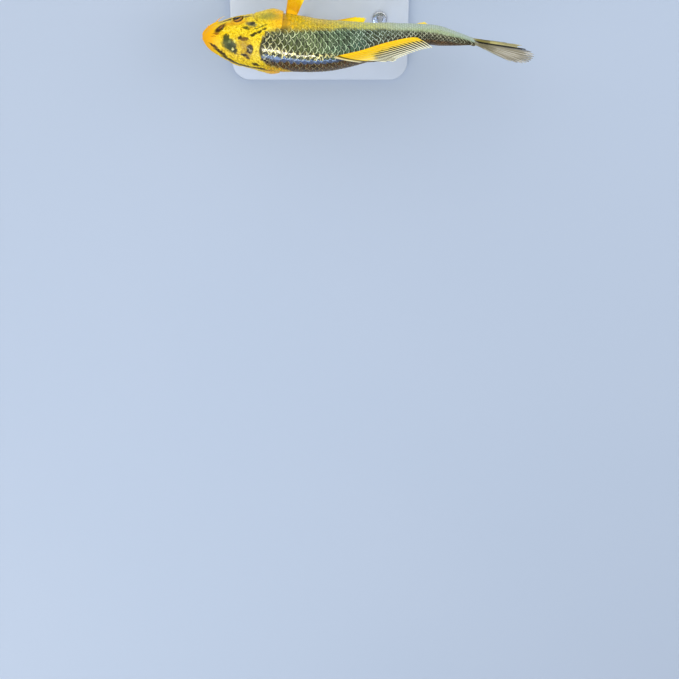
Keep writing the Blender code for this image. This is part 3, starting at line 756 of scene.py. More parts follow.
def scaleRoots():
    stations, angles, lengths = arcTable()
    marks, rows = [scaleCoat["start"]], scaleCoat["rowsPerSide"]
    while marks[-1] < scaleCoat["end"]:
        marks.append(marks[-1] + float(easeTable(scaleCoat["pitch"], marks[-1])))
    roots = []
    for k in range(-rows + 1, rows + 1):
        for before, after in zip(marks, marks[1:]):
            s = before if k % 2 == 0 else (before + after) / 2
            length = lengths[min(int(np.searchsorted(stations, s)), len(stations) - 1)]
            turn = float(np.interp(abs(k) / rows * length[-1], length, angles)) * (1 if k > 0 else -1)
            if s < float(coatEdge(turn)) or s > scaleCoat["end"]:
                continue
            gap = {0: scaleCoat["onBackFin"], rows: scaleCoat["onAnalFin"]}.get(k)
            if not (gap and gap[0] < s < gap[1]):
                pitch = float(easeTable(scaleCoat["pitch"], s))
                roots.append((s, turn, pitch * unit, length[-1] / rows * unit))
    return roots


def scaleShape():
    columns, rows = (-1.0, -0.92, -0.72, -0.40, 0.0, 0.40, 0.72, 0.92, 1.0), (0.0, 0.5, 0.82, 1.0)
    points, place, narrow = [], [], scaleCoat["rootWidth"]
    for t in rows:
        for v in columns:
            u = t * (1 - scaleCoat["taper"] * (1 - math.sqrt(1 - scaleCoat["round"] * v * v)))
            wide = narrow + (1 - narrow) * min(u / scaleCoat["fullWidthAt"], 1.0)
            points.append((u, v * wide / 2, 0.0))
            place.append((u, v))
    across, low = len(columns), len(points)
    last = (len(rows) - 1) * across
    for k in [*range(across), *range(last, last + across)]:  # the under side of both ends
        points.append((*points[k][:2], -1.0))
        place.append(place[k])
    faces = [tuple(f[::-1]) for f in gridFaces(len(rows), across, closed=False)]
    for k in range(across - 1):
        faces.append((low + k, low + k + 1, low + across + k + 1, low + across + k))
        faces.append((k, k + 1, low + k + 1, low + k))
        faces.append((last + k + 1, last + k, low + across + k, low + across + k + 1))
    left, right = range(0, low, across), range(across - 1, low, across)
    faces.append(tuple([*left, low + across, low][::-1]))
    faces.append((*right, low + 2 * across - 1, low + across - 1))
    mesh = meshFrom("scale_shape", points, faces)
    store(mesh, {"scaleU": [p[0] for p in place], "scaleV": [p[1] for p in place]})
    return linked("scale_shape", mesh)


def buildScaleTree():
    inputs = [("Geometry", "Geometry"), ("Scale Shape", "Object"), ("Material", "Material")]
    inputs += [(label, "Float") for label in ("Length", "Width", "Thickness", "Tilt", "Tilt Spread")]
    tree, n, given, out = startTree("layScales", "Geometry", inputs, [("Geometry", "Geometry")])

    def named(name, kind="FLOAT"):
        return n.add("GeometryNodeInputNamedAttribute", {"data_type": kind}, Name=name).outputs[0]

    def chance(seed, limit):
        made = n.add("FunctionNodeRandomValue", {"data_type": "FLOAT"}, Seed=seed)
        n.feed(made, 2, -limit)
        n.feed(made, 3, limit)
        return made.outputs[1]

    axes = n.add("FunctionNodeAxesToRotation", {"primary_axis": "Z", "secondary_axis": "X"})
    n.feedAll(axes, named("outward", "FLOAT_VECTOR"), named("tailward", "FLOAT_VECTOR"))
    lean = n.times(n.math("RADIANS", n.line(chance(7, 1.0), given["Tilt Spread"], given["Tilt"])), -1.0)
    angles = n.add("ShaderNodeCombineXYZ", Y=lean, Z=chance(19, scaleCoat["twist"])).outputs[0]
    turned = n.feedAll(n.add("FunctionNodeEulerToRotation"), angles)
    facing = n.add("FunctionNodeRotateRotation", {"rotation_space": "LOCAL"})
    n.feedAll(facing, axes.outputs[0], turned.outputs[0])
    span = n.times(named("span"), given["Width"])
    size = n.add("ShaderNodeCombineXYZ", X=n.times(named("pitch"), given["Length"]), Y=span,
                 Z=n.times(named("pitch"), given["Thickness"]))
    shape = n.add("GeometryNodeObjectInfo", Object=given["Scale Shape"])
    put = n.add("GeometryNodeInstanceOnPoints", Points=given["Geometry"], Instance=shape.outputs["Geometry"],
                Rotation=facing.outputs[0], Scale=size.outputs[0])
    real = n.add("GeometryNodeRealizeInstances", Geometry=put.outputs[0])
    reach = n.times(named("scaleV"), 0.5, span)  # each scale is wrapped round the body
    drop = n.times(n.times(reach, reach), n.times(named("bend"), -0.5))
    offset = n.add("ShaderNodeVectorMath", {"operation": "SCALE"}, Scale=drop)
    n.feedAll(offset, named("outward", "FLOAT_VECTOR"))
    wrapped = n.add("GeometryNodeSetPosition", Geometry=real.outputs[0], Offset=offset.outputs[0])
    painted = n.add("GeometryNodeSetMaterial", Geometry=wrapped.outputs[0], Material=given["Material"])
    n.feed(out, "Geometry", painted.outputs[0])
    return tree


def growWithNodes(source, tree, values, name):
    change = source.modifiers.new("grow", "NODES")
    change.node_group = tree
    for item in tree.interface.items_tree:
        if item.item_type == "SOCKET" and item.in_out == "INPUT" and item.name in values:
            change[item.identifier] = values[item.name]
    graph = bpy.context.evaluated_depsgraph_get()
    mesh = bpy.data.meshes.new_from_object(source.evaluated_get(graph), preserve_all_data_layers=True,
                                           depsgraph=graph)
    mesh.name = name
    source.modifiers.remove(change)
    bpy.data.objects.remove(source)
    mesh.shade_smooth()
    return mesh


def makeScales(material):
    station, around, pitch, span = np.array(scaleRoots()).T
    at, tailward, _, outward = surfaceFrame(station, around)
    depth = skinShape["coatDepth"] * scaleCoat["rootDepth"] * pitch / pitch.max()
    turn = 3.0  # degrees to both sides, to measure how the body bends there
    left, right = (posed(*section(station, around + way)) for way in (-turn, turn))
    chord = np.linalg.norm(right - left, axis=-1)
    sag = np.einsum("ij,ij->i", at - (left + right) / 2, outward)
    reach = scaleCoat["length"] * pitch / unit
    chance = np.random.default_rng(11)
    cloud = meshFrom("scale_roots", at - outward * depth[:, None], [])
    store(cloud, {"outward": outward, "tailward": tailward}, "FLOAT_VECTOR")
    store(cloud, {
        "pitch": pitch, "span": span, "bend": np.clip(8 * sag / chord**2, *scaleCoat["bendLimits"]),
        "station": station + scaleCoat["middle"] * reach, "around": around, "reach": reach,
        "halfAngle": scaleCoat["width"] / 2 * span * 2 * turn / chord, "shade": chance.random(len(pitch)),
        "rootU": station / 1.06, "rootV": (around + 180) / 360,
    })
    shape = scaleShape()
    settings = {"Scale Shape": shape, "Material": material, "Tilt Spread": scaleCoat["tiltSpread"]}
    settings |= {key.title(): scaleCoat[key] for key in ("length", "width", "thickness", "tilt")}
    mesh = growWithNodes(linked("scale_roots", cloud), buildScaleTree(), settings, "koi_scales")
    bpy.data.objects.remove(shape)
    mesh.set_sharp_from_angle(angle=math.radians(50))
    u, v = readFloats(mesh, "scaleU"), readFloats(mesh, "scaleV")
    for name, scale, place in (("station", "reach", u - scaleCoat["middle"]), ("around", "halfAngle", v)):
        values = readFloats(mesh, name) + scaleCoat["ownPlace"] * readFloats(mesh, scale) * place
        mesh.attributes[name].data.foreach_set("value", values.astype(np.float32))
    corner, patch = cornerPoints(mesh), scaleCoat["patch"]
    along, across = readFloats(mesh, "rootU") + (u - 0.5) * patch, readFloats(mesh, "rootV") + v * patch / 2
    addBakeMap(mesh, along[corner], across[corner])
    scales = makeObject("koi_scales", mesh, material)
    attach(scales, "root")
    print("scales", len(station), "faces", len(mesh.polygons))


# Each fin is a sheet over a fan of rays, drawn straight like the body.
finSheet = {
    "thickness": 0.00016, "rootThickness": 0.0011, "rootReach": 0.10, "sunk": 0.05,
    "thinning": 0.4,  # how much thinner it is at the edge, of the thickness
    "rows": 22, "perRay": 6, "ripple": 0.00022, "ragged": 0.02,
    "rayRadius": 0.00048, "rayTaper": 0.58, "raySteps": 14, "raySides": 6,
    "raySunk": 0.6,  # of the depth that the sheet is sunk
    "rayReach": 0.97,  # of the sheet, for all but the first ray
    "firstStout": 1.5,
    "fork": 0.14,  # how far a ray's two halves part, of the space between rays
    "forkFrom": 0.42,
    "curlBack": 0.10, "curlAside": 0.06,
}
backFins = {  # rise: degrees up at both ends; lean: degrees to the left; lengths: of the rays, evenly spaced
    "dorsal": {"stations": (0.515, 0.832), "rise": (33, 58), "lean": 16, "up": 1, "rays": 20, "notch": 0.05,
               "stout": 1.15, "lengths": (0.100, 0.186, 0.165, 0.145, 0.128, 0.115, 0.100, 0.085)},
    "anal": {"stations": (0.762, 0.838), "rise": (54, 40), "lean": -7, "up": -1, "rays": 9, "notch": 0.05,
             "lengths": (0.075, 0.128, 0.118, 0.100, 0.080, 0.062)},
}
pectoral = {"rays": 16, "notch": 0.04, "lengths": (0.165, 0.196, 0.200, 0.188, 0.165, 0.130)}
pelvic = {"lead": (0.500, 146, (0.88, 0.04, -0.38)), "trail": (0.522, 162, (0.97, -0.02, -0.18)),
          "lift": 1.04, "rays": 9, "notch": 0.05, "lengths": (0.105, 0.130, 0.128, 0.112, 0.085)}
sideFins = {  # lead and trail: station, degrees and aim of the first and last ray
    "pectoral_right": {"lead": (0.318, 113, (0.02, 0.93, -0.25)), "trail": (0.356, 133, (0.30, 0.72, -0.58)),
                       "side": 1, "lift": 1.025, **pectoral},
    "pectoral_left": {"lead": (0.318, 113, (0.66, 0.32, -0.62)), "trail": (0.356, 133, (0.90, 0.08, -0.36)),
                      "side": -1, "lift": 1.045, **pectoral},
    "pelvic_right": {"side": 1, **pelvic},
    "pelvic_left": {"side": -1, **pelvic},
}
tailLobes = {  # root: height of the first ray over the axis
    "upper": {"root": 0.0715, "rise": 26, "lean": 27, "up": 1, "rays": 11, "notch": 0.05, "stoutLast": 1.7,
              "lengths": (0.150, 0.186, 0.206, 0.221, 0.232, 0.236, 0.230, 0.205)},
    "lower": {"root": 0.0655, "rise": 18, "lean": 4, "up": -1, "rays": 11, "notch": 0.05,
              "lengths": (0.150, 0.204, 0.208, 0.196, 0.184, 0.180, 0.184, 0.196)},
}
seam = 0.0003 / unit * 1.6  # the small gap at a fin's root
finLooks = {  # edgeClear: how clear the outer edge is; stripes: from and to across the fan, strength, colour
    "golden_fin": {
        "root": (255, 204, 0), "between": (255, 216, 4), "outer": (255, 222, 30), "ray": (255, 230, 20),
        "edgeClear": 0.14, "paintedGlow": 0.24, "warmth": 0.82,
    },
    "dorsal_fin": {
        "root": (255, 214, 30), "between": (42, 30, 2), "outer": (214, 208, 176), "ray": (255, 250, 214),
        "edgeClear": 0.90, "paintedGlow": 0.34, "warmth": 0.82, "lateRoot": 0.40,
        # a pale leading ray, and behind it a dark stripe of painted shadow
        "stripes": ((-0.1, 0.012, 0.9, (255, 248, 206)), (0.028, 0.060, 0.85, (60, 44, 12))),
    },
    "tail_low": {
        "root": (184, 170, 84), "between": (186, 176, 124), "outer": (190, 186, 162), "ray": (150, 138, 90),
        "edgeClear": 0.76, "streaks": (222, 210, 140),
        "stripes": ((0.92, 1.5, 0.97, (24, 20, 10)), (-0.1, 0.02, 0.8, (98, 98, 50))),
    },
    "tail_top": {
        "root": (164, 154, 116), "between": (136, 128, 106), "outer": (152, 150, 140), "ray": (164, 154, 130),
        "edgeClear": 0.78, "streaks": (208, 200, 182),
        "stripes": ((0.90, 1.5, 0.97, (24, 20, 10)), (-0.1, 0.02, 0.8, (206, 204, 182))),
    },
}


def lengthOf(lengths, t):
    return easeTable([(i / (len(lengths) - 1), value) for i, value in enumerate(lengths)], t)


def backFan(fin, t):
    s = fin["stations"][0] + (fin["stations"][1] - fin["stations"][0]) * t
    lift = np.radians(fin["rise"][0] + (fin["rise"][1] - fin["rise"][0]) * t)
    lean, up = math.radians(fin["lean"]), fin["up"]
    aim = stack(np.cos(lift), -np.sin(lift) * math.sin(lean), up * np.sin(lift) * math.cos(lean))
    x, y, z = section(s, 0.0 if up > 0 else 180.0)
    curl = stack(finSheet["curlBack"] + 0 * t, math.copysign(finSheet["curlAside"], -fin["lean"]), 0.0)
    return stack(x, y, z + up * seam), aim, lengthOf(fin["lengths"], t), curl


def sideFan(fin, t):
    (s0, a0, aim0), (s1, a1, aim1) = fin["lead"], fin["trail"]
    side = fin["side"]
    root = stack(*section(s0 + (s1 - s0) * t, side * (a0 + (a1 - a0) * t), fin["lift"]))
    aim = np.array(aim0) + (np.array(aim1) - np.array(aim0)) * t[..., None]
    aim = unitVectors(aim * np.array([1, side, 1]))
    curl = stack(finSheet["curlBack"] + 0 * t, 0.0, -finSheet["curlAside"])
    return root, aim, lengthOf(fin["lengths"], t), curl


def tailFan(fin, t):
    up = fin["up"]
    lift = np.radians(fin["rise"] * (1 - t))
    aside = -np.sin(lift) * math.tan(math.radians(fin["lean"]))
    aim = unitVectors(stack(np.cos(lift), aside, up * np.sin(lift)))
    root = stack(fishBody["fleshEnd"] + seam, 0.0, up * fin["root"] * (1 - t))
    return root, aim, lengthOf(fin["lengths"], t), np.zeros(aim.shape)


def fanPoints(fan, fin, t, r):
    root, aim, length, curl = fan(fin, t)
    reach = (length * r)[..., None]
    return posed(*np.moveaxis(root + aim * reach + curl * reach * r[..., None], -1, 0))


def ripple(t, r):
    return finSheet["ripple"] * np.sin(t * 9 + r * 4) * r


def makeWeb(name, fan, fin, material):
    last = fin["rays"] - 1
    t = np.linspace(0, 1, last * finSheet["perRay"] + 1)[None, :]
    phase = t * last
    # the sheet is a little shorter between the rays
    edge = 1 - fin["notch"] * np.sin(np.pi * phase) ** 2 - finSheet["ragged"] * np.sin(phase * 2.7 + 1.0) ** 2
    r = (edge + finSheet["sunk"]) * np.linspace(0, 1, finSheet["rows"])[:, None] - finSheet["sunk"]
    t = np.broadcast_to(t, r.shape)
    middle = fanPoints(fan, fin, t, r)
    outward = unitVectors(np.cross(np.gradient(middle, axis=1), np.gradient(middle, axis=0)))
    inner = np.clip(1 - r / finSheet["rootReach"], 0, 1)
    ends = np.clip(np.minimum(t, 1 - t) * 12, 0, 1) ** 0.5
    thin = finSheet["thickness"]
    half = thin * (1 - finSheet["thinning"] * r) + (finSheet["rootThickness"] - thin) * inner**2 * ends
    both = [(middle + outward * (ripple(t, r) + k * half)[..., None]).reshape(-1, 3) for k in (1, -1)]
    rows, across = r.shape
    count = rows * across
    faces = [tuple(f) for f in gridFaces(rows, across, closed=False)]
    faces += [tuple(count + i for i in reversed(f)) for f in faces]
    rim = [*range(across), *range(2 * across - 1, count, across)]
    rim += [*range(count - 2, count - across - 1, -1), *range(count - 2 * across, 0, -across)]
    faces += [(b, a, a + count, b + count) for a, b in zip(rim, rim[1:] + rim[:1])]
    mesh = smoothMesh(name, np.concatenate(both), faces)
    values = {"ray": t * last, "reach": r, "fan": t}
    store(mesh, {key: np.tile(value.ravel(), 2) for key, value in values.items()})
    return makeObject(name, mesh, material)


def makeRays(name, fan, fin, material, tree):
    steps, last = finSheet["raySteps"], fin["rays"] - 1
    strands, edges, thick, reaches, fans = [], [], [], [], []
    for k in range(fin["rays"]):
        place = k / last
        radius = finSheet["rayRadius"] * fin.get("stout", 1.0)
        radius *= {0: finSheet["firstStout"], last: fin.get("stoutLast", 1.0)}.get(k, 1.0)
        for fork in (-1, 1):
            at = np.linspace(-finSheet["sunk"] * finSheet["raySunk"], 0.995, steps)
            apart = fork * finSheet["fork"] / last * ramp(finSheet["forkFrom"], 1.0, at)
            apart *= fork == -1 or k > 0
            where = np.clip(place + apart, 0, 1)  # so the first ray stays whole
            points = fanPoints(fan, fin, where, at * (finSheet["rayReach"] if k else 1.0))
            after, before = (fanPoints(fan, fin, np.clip(where + way, 0, 1), at) for way in (0.01, -0.01))
            side = unitVectors(np.cross(after - before, np.gradient(points, axis=0)))
            first = len(strands)
            strands.extend((points + side * ripple(where, at)[:, None]).tolist())
            edges.extend((first + i, first + i + 1) for i in range(steps - 1))
            thick.extend((radius * (1 - finSheet["rayTaper"] * np.clip(at, 0, 1))).tolist())
            reaches.extend(at.tolist())
            fans.extend([place] * steps)
    lines = meshFrom(name + "_lines", strands, [], edges)
    store(lines, {"thick": thick, "reach": reaches, "fan": fans})
    settings = {"Sides": finSheet["raySides"], "Material": material}
    return makeObject(name, growWithNodes(linked(name + "_lines", lines), tree, settings, name), material)


def makeFin(name, fan, fin, materials, tree, replaced):
    web = makeWeb(name, fan, fin, materials[0])
    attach(web, "root")
    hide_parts(replaced)
    rays = makeRays(name + "_rays", fan, fin, materials[1], tree)
    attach(rays, "root")


def buildTubeTree():  # a tube along each line, as thick as its points say
    inputs = [("Geometry", "Geometry"), ("Sides", "Int"), ("Material", "Material")]
    tree, n, given, out = startTree("growTubes", "Geometry", inputs, [("Geometry", "Geometry")])
    thick = n.add("GeometryNodeInputNamedAttribute", {"data_type": "FLOAT"}, Name="thick").outputs[0]
    curve = n.add("GeometryNodeMeshToCurve", Mesh=given["Geometry"]).outputs[0]
    ring = n.add("GeometryNodeCurvePrimitiveCircle", Resolution=given["Sides"], Radius=1.0).outputs[0]
    tube = n.add("GeometryNodeCurveToMesh", Curve=curve, Profile_Curve=ring, Scale=thick, Fill_Caps=True)
    real = n.add("GeometryNodeRealizeInstances", Geometry=tube.outputs[0])
    painted = n.add("GeometryNodeSetMaterial", Geometry=real.outputs[0], Material=given["Material"])
    n.feed(out, "Geometry", painted.outputs[0])
    return tree


def buildFinMarks(name, look):  # streaks and stripes along the fan, for web and rays alike
    inputs = [("Shade", "Color"), ("Fan", "Float"), ("Reach", "Float")]
    tree, n, given, out = startTree(name + "_marks", "Shader", inputs, [("Shade", "Color")])
    shade, fan, reach, rootShift = given["Shade"], given["Fan"], given["Reach"], 0.0
    if "streaks" in look:
        along = n.add("ShaderNodeCombineXYZ", X=n.times(fan, 9.0), Y=reach).outputs[0]
        streak = n.speckle(0.50, 0.58, 1.3, 2.0, 0.5, along)
        shade = n.paint(shade, look["streaks"], streak, n.span(reach, 0.15, 0.40), 0.75)
        rootShift = 0.16
    across = n.plus(fan, n.span(reach, 0.30, 0.02, 0.0, rootShift))  # stripes widen at the root
    for low, high, strength, tone in look.get("stripes", ()):
        stripe = n.window(across, (low - 0.02, low + 0.01), (high + 0.02, high - 0.01))
        shade = n.paint(shade, tone, stripe, strength)
    n.feed(out, "Shade", shade)
    return tree


def makeFinMaterials(name, look):
    marks = buildFinMarks(name, look)
    root, between, outer, ray = (look[key] for key in ("root", "between", "outer", "ray"))
    dim, warm = tuple(c * 0.9 for c in root), (root[0], root[1] * look.get("warmth", 1.0), root[2])
    web, n, shader = startMaterial(name + "_web", Coat_Weight=0.06, Coat_Roughness=0.15,
                                   Specular_IOR_Level=0.06)
    phase, reach, fan = n.attribute("ray"), n.attribute("reach"), n.attribute("fan")
    wave = n.math("ABSOLUTE", n.math("SINE", n.times(phase, math.pi)))  # 0 on a ray
    late = look.get("lateRoot", 0.0)  # how much further the root's colour runs at the front of the fin
    out = n.minus(n.plus(reach, n.times(n.drift(220.0, 3.0), 0.25)), n.times(n.span(fan, 0.38, 0.05), late))
    out = n.plus(out, n.times(n.span(fan, 0.40, 0.95), late * 0.10))
    plain = n.ramp(out, ((0.0, warm), (0.14, root), (0.34, root), (0.66, ray), (1.0, outer)))
    gaps = n.ramp(out, ((0.0, dim), (0.24, dim), (0.44, between), (0.78, between), (1.0, outer)))
    shade = n.mix(n.span(wave, 0.42, 0.70), plain, gaps)
    shade = n.group(marks, Shade=shade, Fan=fan, Reach=reach).outputs[0]
    n.feed(shader, "Base Color", shade)
    n.feed(shader, "Emission Color", shade)
    n.feed(shader, "Emission Strength", look.get("paintedGlow", 0.0))  # a painted glow, in place of light that passes through the thin skin
    clear = n.times(n.span(out, 0.72, 0.98, 0.04, look["edgeClear"]), n.span(wave, 0.0, 0.7, 0.35, 1.0))
    n.feed(shader, "Alpha", n.minus(1.0, clear))
    n.roughen(shader, 0.28, 0.45, 500.0)
    n.relief(shader, 0.35, 0.0003, n.plus(n.times(wave, 0.5), n.noise(900.0, 3.0)))
    rays, n, shader = startMaterial(name + "_ray", Coat_Weight=0.2, Coat_Roughness=0.15,
                                    Specular_IOR_Level=0.2)
    reach = n.attribute("reach")
    half = tuple(0.5 * a + 0.5 * b for a, b in zip(root, ray))
    out = n.plus(reach, n.times(n.drift(300.0), 0.2))
    tone = n.ramp(out, ((0.0, root), (0.40, half), (0.72, ray), (1.0, ray)))
    n.feed(shader, "Base Color", n.group(marks, Shade=tone, Fan=n.attribute("fan"), Reach=reach).outputs[0])
    n.relief(shader, 0.10, 0.0002, n.math("SINE", n.times(reach, 260.0)))  # the joints of a ray
    n.roughen(shader, 0.26, 0.40, 700.0)
    return web, rays


def makeFins(tree):
    looks = {name: makeFinMaterials(name, look) for name, look in finLooks.items()}
    makeFin("koi_dorsal_fin", backFan, backFins["dorsal"], looks["dorsal_fin"], tree, "dorsal_fin")
    makeFin("koi_anal_fin", backFan, backFins["anal"], looks["golden_fin"], tree, "anal_fin")
    for name, fin in sideFins.items():
        kind, side = name.split("_")
        makeFin("koi_" + name, sideFan, fin, looks["golden_fin"], tree, f"{kind}_fin_{side}")
    for name, look in (("upper", "tail_top"), ("lower", "tail_low")):
        makeFin("koi_tail_" + name, tailFan, tailLobes[name], looks[look], tree, "tail_fin_" + name)
    print("fins done")


# Eyes and feelers.
eyeLook = {
    "rings": 40, "sides": 48,
    "bulge": 0.04,  # how far the front of the eye stands out, of its radius
    "gaze": (-0.14, 0, -0.22),  # added to the way out of the head
    # degrees from the gaze, in hundreds, and colour
    "colours": ((0.0, (6, 6, 8)), (0.33, (8, 8, 8)), (0.37, (200, 150, 50)), (0.44, (190, 120, 30)),
                (0.52, (110, 70, 18)), (0.60, (50, 32, 10)), (0.9, (150, 120, 50))),
}
feelers = {
    "rear": {"station": 0.050, "around": 112, "length": 0.036,
             "aim": (0.45, 0.50, -0.75), "curl": (0.30, -0.25, -0.35)},
    "front": {"station": 0.018, "around": 92, "length": 0.016,
              "aim": (-0.10, 0.75, -0.65), "curl": (0.20, -0.30, -0.40)},
}
feelerSize = {
    "radius": 0.00046, "rootRadius": 0.0005, "taper": 0.6,
    "steps": 22, "sides": 12, "sunk": 0.35, "lift": 1.08,
}
bothSides = ((1, "right"), (-1, "left"))


def makeEyes():
    material, n, shader = startMaterial("koi_eye", Roughness=0.16, Coat_Weight=0.45, Coat_Roughness=0.03,
                                        Specular_IOR_Level=0.1)
    polar = n.attribute("polar")
    fleck = n.times(n.drift(1600.0, 4.0, 0.7), 10.0)
    n.feed(shader, "Base Color", n.ramp(n.math("DIVIDE", n.plus(polar, fleck), 100.0), eyeLook["colours"]))
    n.feed(shader, "Metallic", n.times(n.span(polar, 34, 40), 0.35))
    rings, sides, radius = eyeLook["rings"], eyeLook["sides"], skinShape["eyeRadius"]
    for side, label in bothSides:
        at, _, _, outward = surfaceFrame(skinShape["eyeStation"], side * skinShape["eyeAround"])
        centre = at - outward * (radius - skinShape["eyeProud"])
        gaze = (Vector(outward).normalized() + Vector(eyeLook["gaze"])).normalized()
        turn = gaze.to_track_quat("Z", "X")
        points, polars = [centre + np.array(gaze) * radius * (1 + eyeLook["bulge"])], [0.0]
        for k in range(1, rings):
            angle = math.pi * k / rings
            size = radius * (1 + eyeLook["bulge"] * float(ramp(46, 20, math.degrees(angle))))
            wide, ahead = math.sin(angle), math.cos(angle)
            for j in range(sides):
                way = 2 * math.pi * j / sides
                local = Vector((wide * math.cos(way), wide * math.sin(way), ahead))
                points.append(centre + np.array(turn @ local) * size)
                polars.append(math.degrees(angle))
        points.append(centre - np.array(gaze) * radius)
        polars.append(180.0)
        mesh = smoothMesh("koi_eye_" + label, points, [f[::-1] for f in turnedFaces(rings - 1, sides)])
        store(mesh, {"polar": polars})
        eye = makeObject("koi_eye_" + label, mesh, material)
        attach(eye, "root")
        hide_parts("eye_" + label)
    print("eyes done")


def makeFeelers(tree):
    material, n, shader = startMaterial("koi_feeler", Roughness=0.32, Coat_Weight=0.4, Coat_Roughness=0.12)
    outer = n.span(n.attribute("reach"), 0.2, 0.9)
    n.feed(shader, "Base Color", n.mix(outer, (250, 176, 30), (234, 214, 160)))
    n.relief(shader, 0.2, 0.0002, n.noise(1500.0))
    r = np.linspace(-feelerSize["sunk"], 1, feelerSize["steps"])
    thick = feelerSize["radius"] * (1 - feelerSize["taper"] * np.clip(r, 0, 1))
    thick += feelerSize["rootRadius"] * np.clip(0.1 - r, 0, 0.4)
    for place, feeler in feelers.items():
        for side, label in bothSides:
            root = np.array(section(feeler["station"], side * feeler["around"], feelerSize["lift"]), float)
            aim, curl = (np.array(feeler[key]) * (1, side, 1) for key in ("aim", "curl"))
            reach = (feeler["length"] * r)[:, None]
            straight = root + aim / np.linalg.norm(aim) * reach
            strand = posed(*(straight + curl * reach * np.maximum(r, 0)[:, None]).T)
            name = f"koi_barbel_{place}_{label}"
            lines = meshFrom(name, strand, [], [(i, i + 1) for i in range(len(r) - 1)])
            store(lines, {"thick": thick, "reach": r})
            settings = {"Sides": feelerSize["sides"], "Material": material}
            barbel = makeObject(name, growWithNodes(linked(name, lines), tree, settings, name), material)
            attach(barbel, "root")
            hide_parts(f"barbel_{place}_{label}")
    print("feelers done")


# A flat base with two rods up to the belly.
stand = {
    "size": (0.170, 0.120, 0.008), "corner": 0.018, "cornerSteps": 12, "edge": 0.0012,
    "rods": ("front", "rear"), "rodRadius": 0.0025, "rodSides": 48,
    "footRadius": 0.007, "footHeight": 0.0025, "footEdge": 0.0012, "footBevel": 0.0004,
    "fillet": ((0.0006, 0.0), (0.0001, 0.0005), (0.0, 0.0011)),  # out from the rod and up from its foot
    "tip": ((0.0, 0.0006), (0.0004, 0.0002)),  # in from the rod's side and down from its top
}


def arc(radius, height, size, steps=5):  # a rounded upper edge of a turned profile
    turns = [math.radians(90 * k / steps) for k in range(steps + 1)]
    return [(radius + size * math.cos(a), height + size * math.sin(a)) for a in turns]


def makeTurned(name, centre, profile, sides, material):
    angles = np.arange(sides) * 2 * math.pi / sides
    points = [(*centre, profile[0][1])]
    for radius, height in profile[1:-1]:
        points += [(centre[0] + radius * math.cos(a), centre[1] + radius * math.sin(a), height)
                   for a in angles]
    points.append((*centre, profile[-1][1]))
    return makeObject(name, smoothMesh(name, points, turnedFaces(len(profile) - 2, sides), 40), material)


def makeBase(material):
    width, depth, top = stand["size"]
    edge, corner, steps = stand["edge"], stand["corner"], stand["cornerSteps"]

    def rounded(*degrees):  # inset and drop, at 90 degrees on the upright side
        turns = [math.radians(a) for a in degrees]
        return [(edge * (1 - math.sin(a)), edge * (1 - math.cos(a))) for a in turns]

    levels = [(edge, 0.0)] + rounded(30, 60, 90)  # inset, height
    levels += [(inset, top - drop) for inset, drop in rounded(90, 68, 45, 22, 0)]
    points = []
    for inset, height in levels:
        for cx, cy, start in ((1, 1, 0), (-1, 1, 90), (-1, -1, 180), (1, -1, 270)):
            for k in range(steps + 1):
                a = math.radians(start + 90 * k / steps)
                points.append((cx * (width / 2 - corner) + (corner - inset) * math.cos(a),
                               cy * (depth / 2 - corner) + (corner - inset) * math.sin(a), height))
    ring = 4 * (steps + 1)
    faces = [tuple(f) for f in gridFaces(len(levels), ring)]
    faces += [tuple(reversed(range(ring))), tuple(range(len(points) - ring, len(points)))]
    base = makeObject("display_base", smoothMesh("display_base", points, faces, 50), material)
    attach(base, "root")
    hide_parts("stand_base")


def makeStand():
    white, n, shader = startMaterial("stand_paint", Coat_Weight=0.06, Coat_Roughness=0.3,
                                     Specular_IOR_Level=0.2)
    patches = n.span(n.noise(40.0, 3.0), 0.35, 0.65, 0.0, 0.5)
    n.feed(shader, "Base Color", n.mix(patches, (196, 204, 218), (190, 199, 214)))
    n.roughen(shader, 0.36, 0.46, 160.0, 3.0)
    steel, n, shader = startMaterial("stand_steel", Metallic=1.0)
    n.feed(shader, "Base Color", n.mix(n.noise(300.0), (196, 198, 202), (176, 178, 184)))
    place = n.add("ShaderNodeTexCoord").outputs["Object"]
    drawn = n.add("ShaderNodeMapping", Vector=place, Scale=(900.0, 900.0, 30.0)).outputs[0]
    n.roughen(shader, 0.22, 0.36, 1.0, 3.0, 0.5, drawn)
    makeBase(white)
    top, r = stand["size"][2], stand["rodRadius"]
    foot, tall = stand["footRadius"], top + stand["footHeight"]
    rounding, bevel = stand["footEdge"], stand["footBevel"]
    for label in stand["rods"]:
        low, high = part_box("stand_rod_" + label)
        profile = [(0, low[2]), (foot - bevel, low[2]), (foot, low[2] + bevel)]
        profile += arc(foot - rounding, tall - rounding, rounding)
        profile += [(r + out, tall + up) for out, up in stand["fillet"]]
        profile += [(r - inward, high[2] - down) for inward, down in stand["tip"]] + [(0, high[2])]
        centre = ((low[0] + high[0]) / 2, (low[1] + high[1]) / 2)
        rod = makeTurned("display_rod_" + label, centre, profile, stand["rodSides"], steel)
        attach(rod, "root")
        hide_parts("stand_rod_" + label)
    print("stand done")


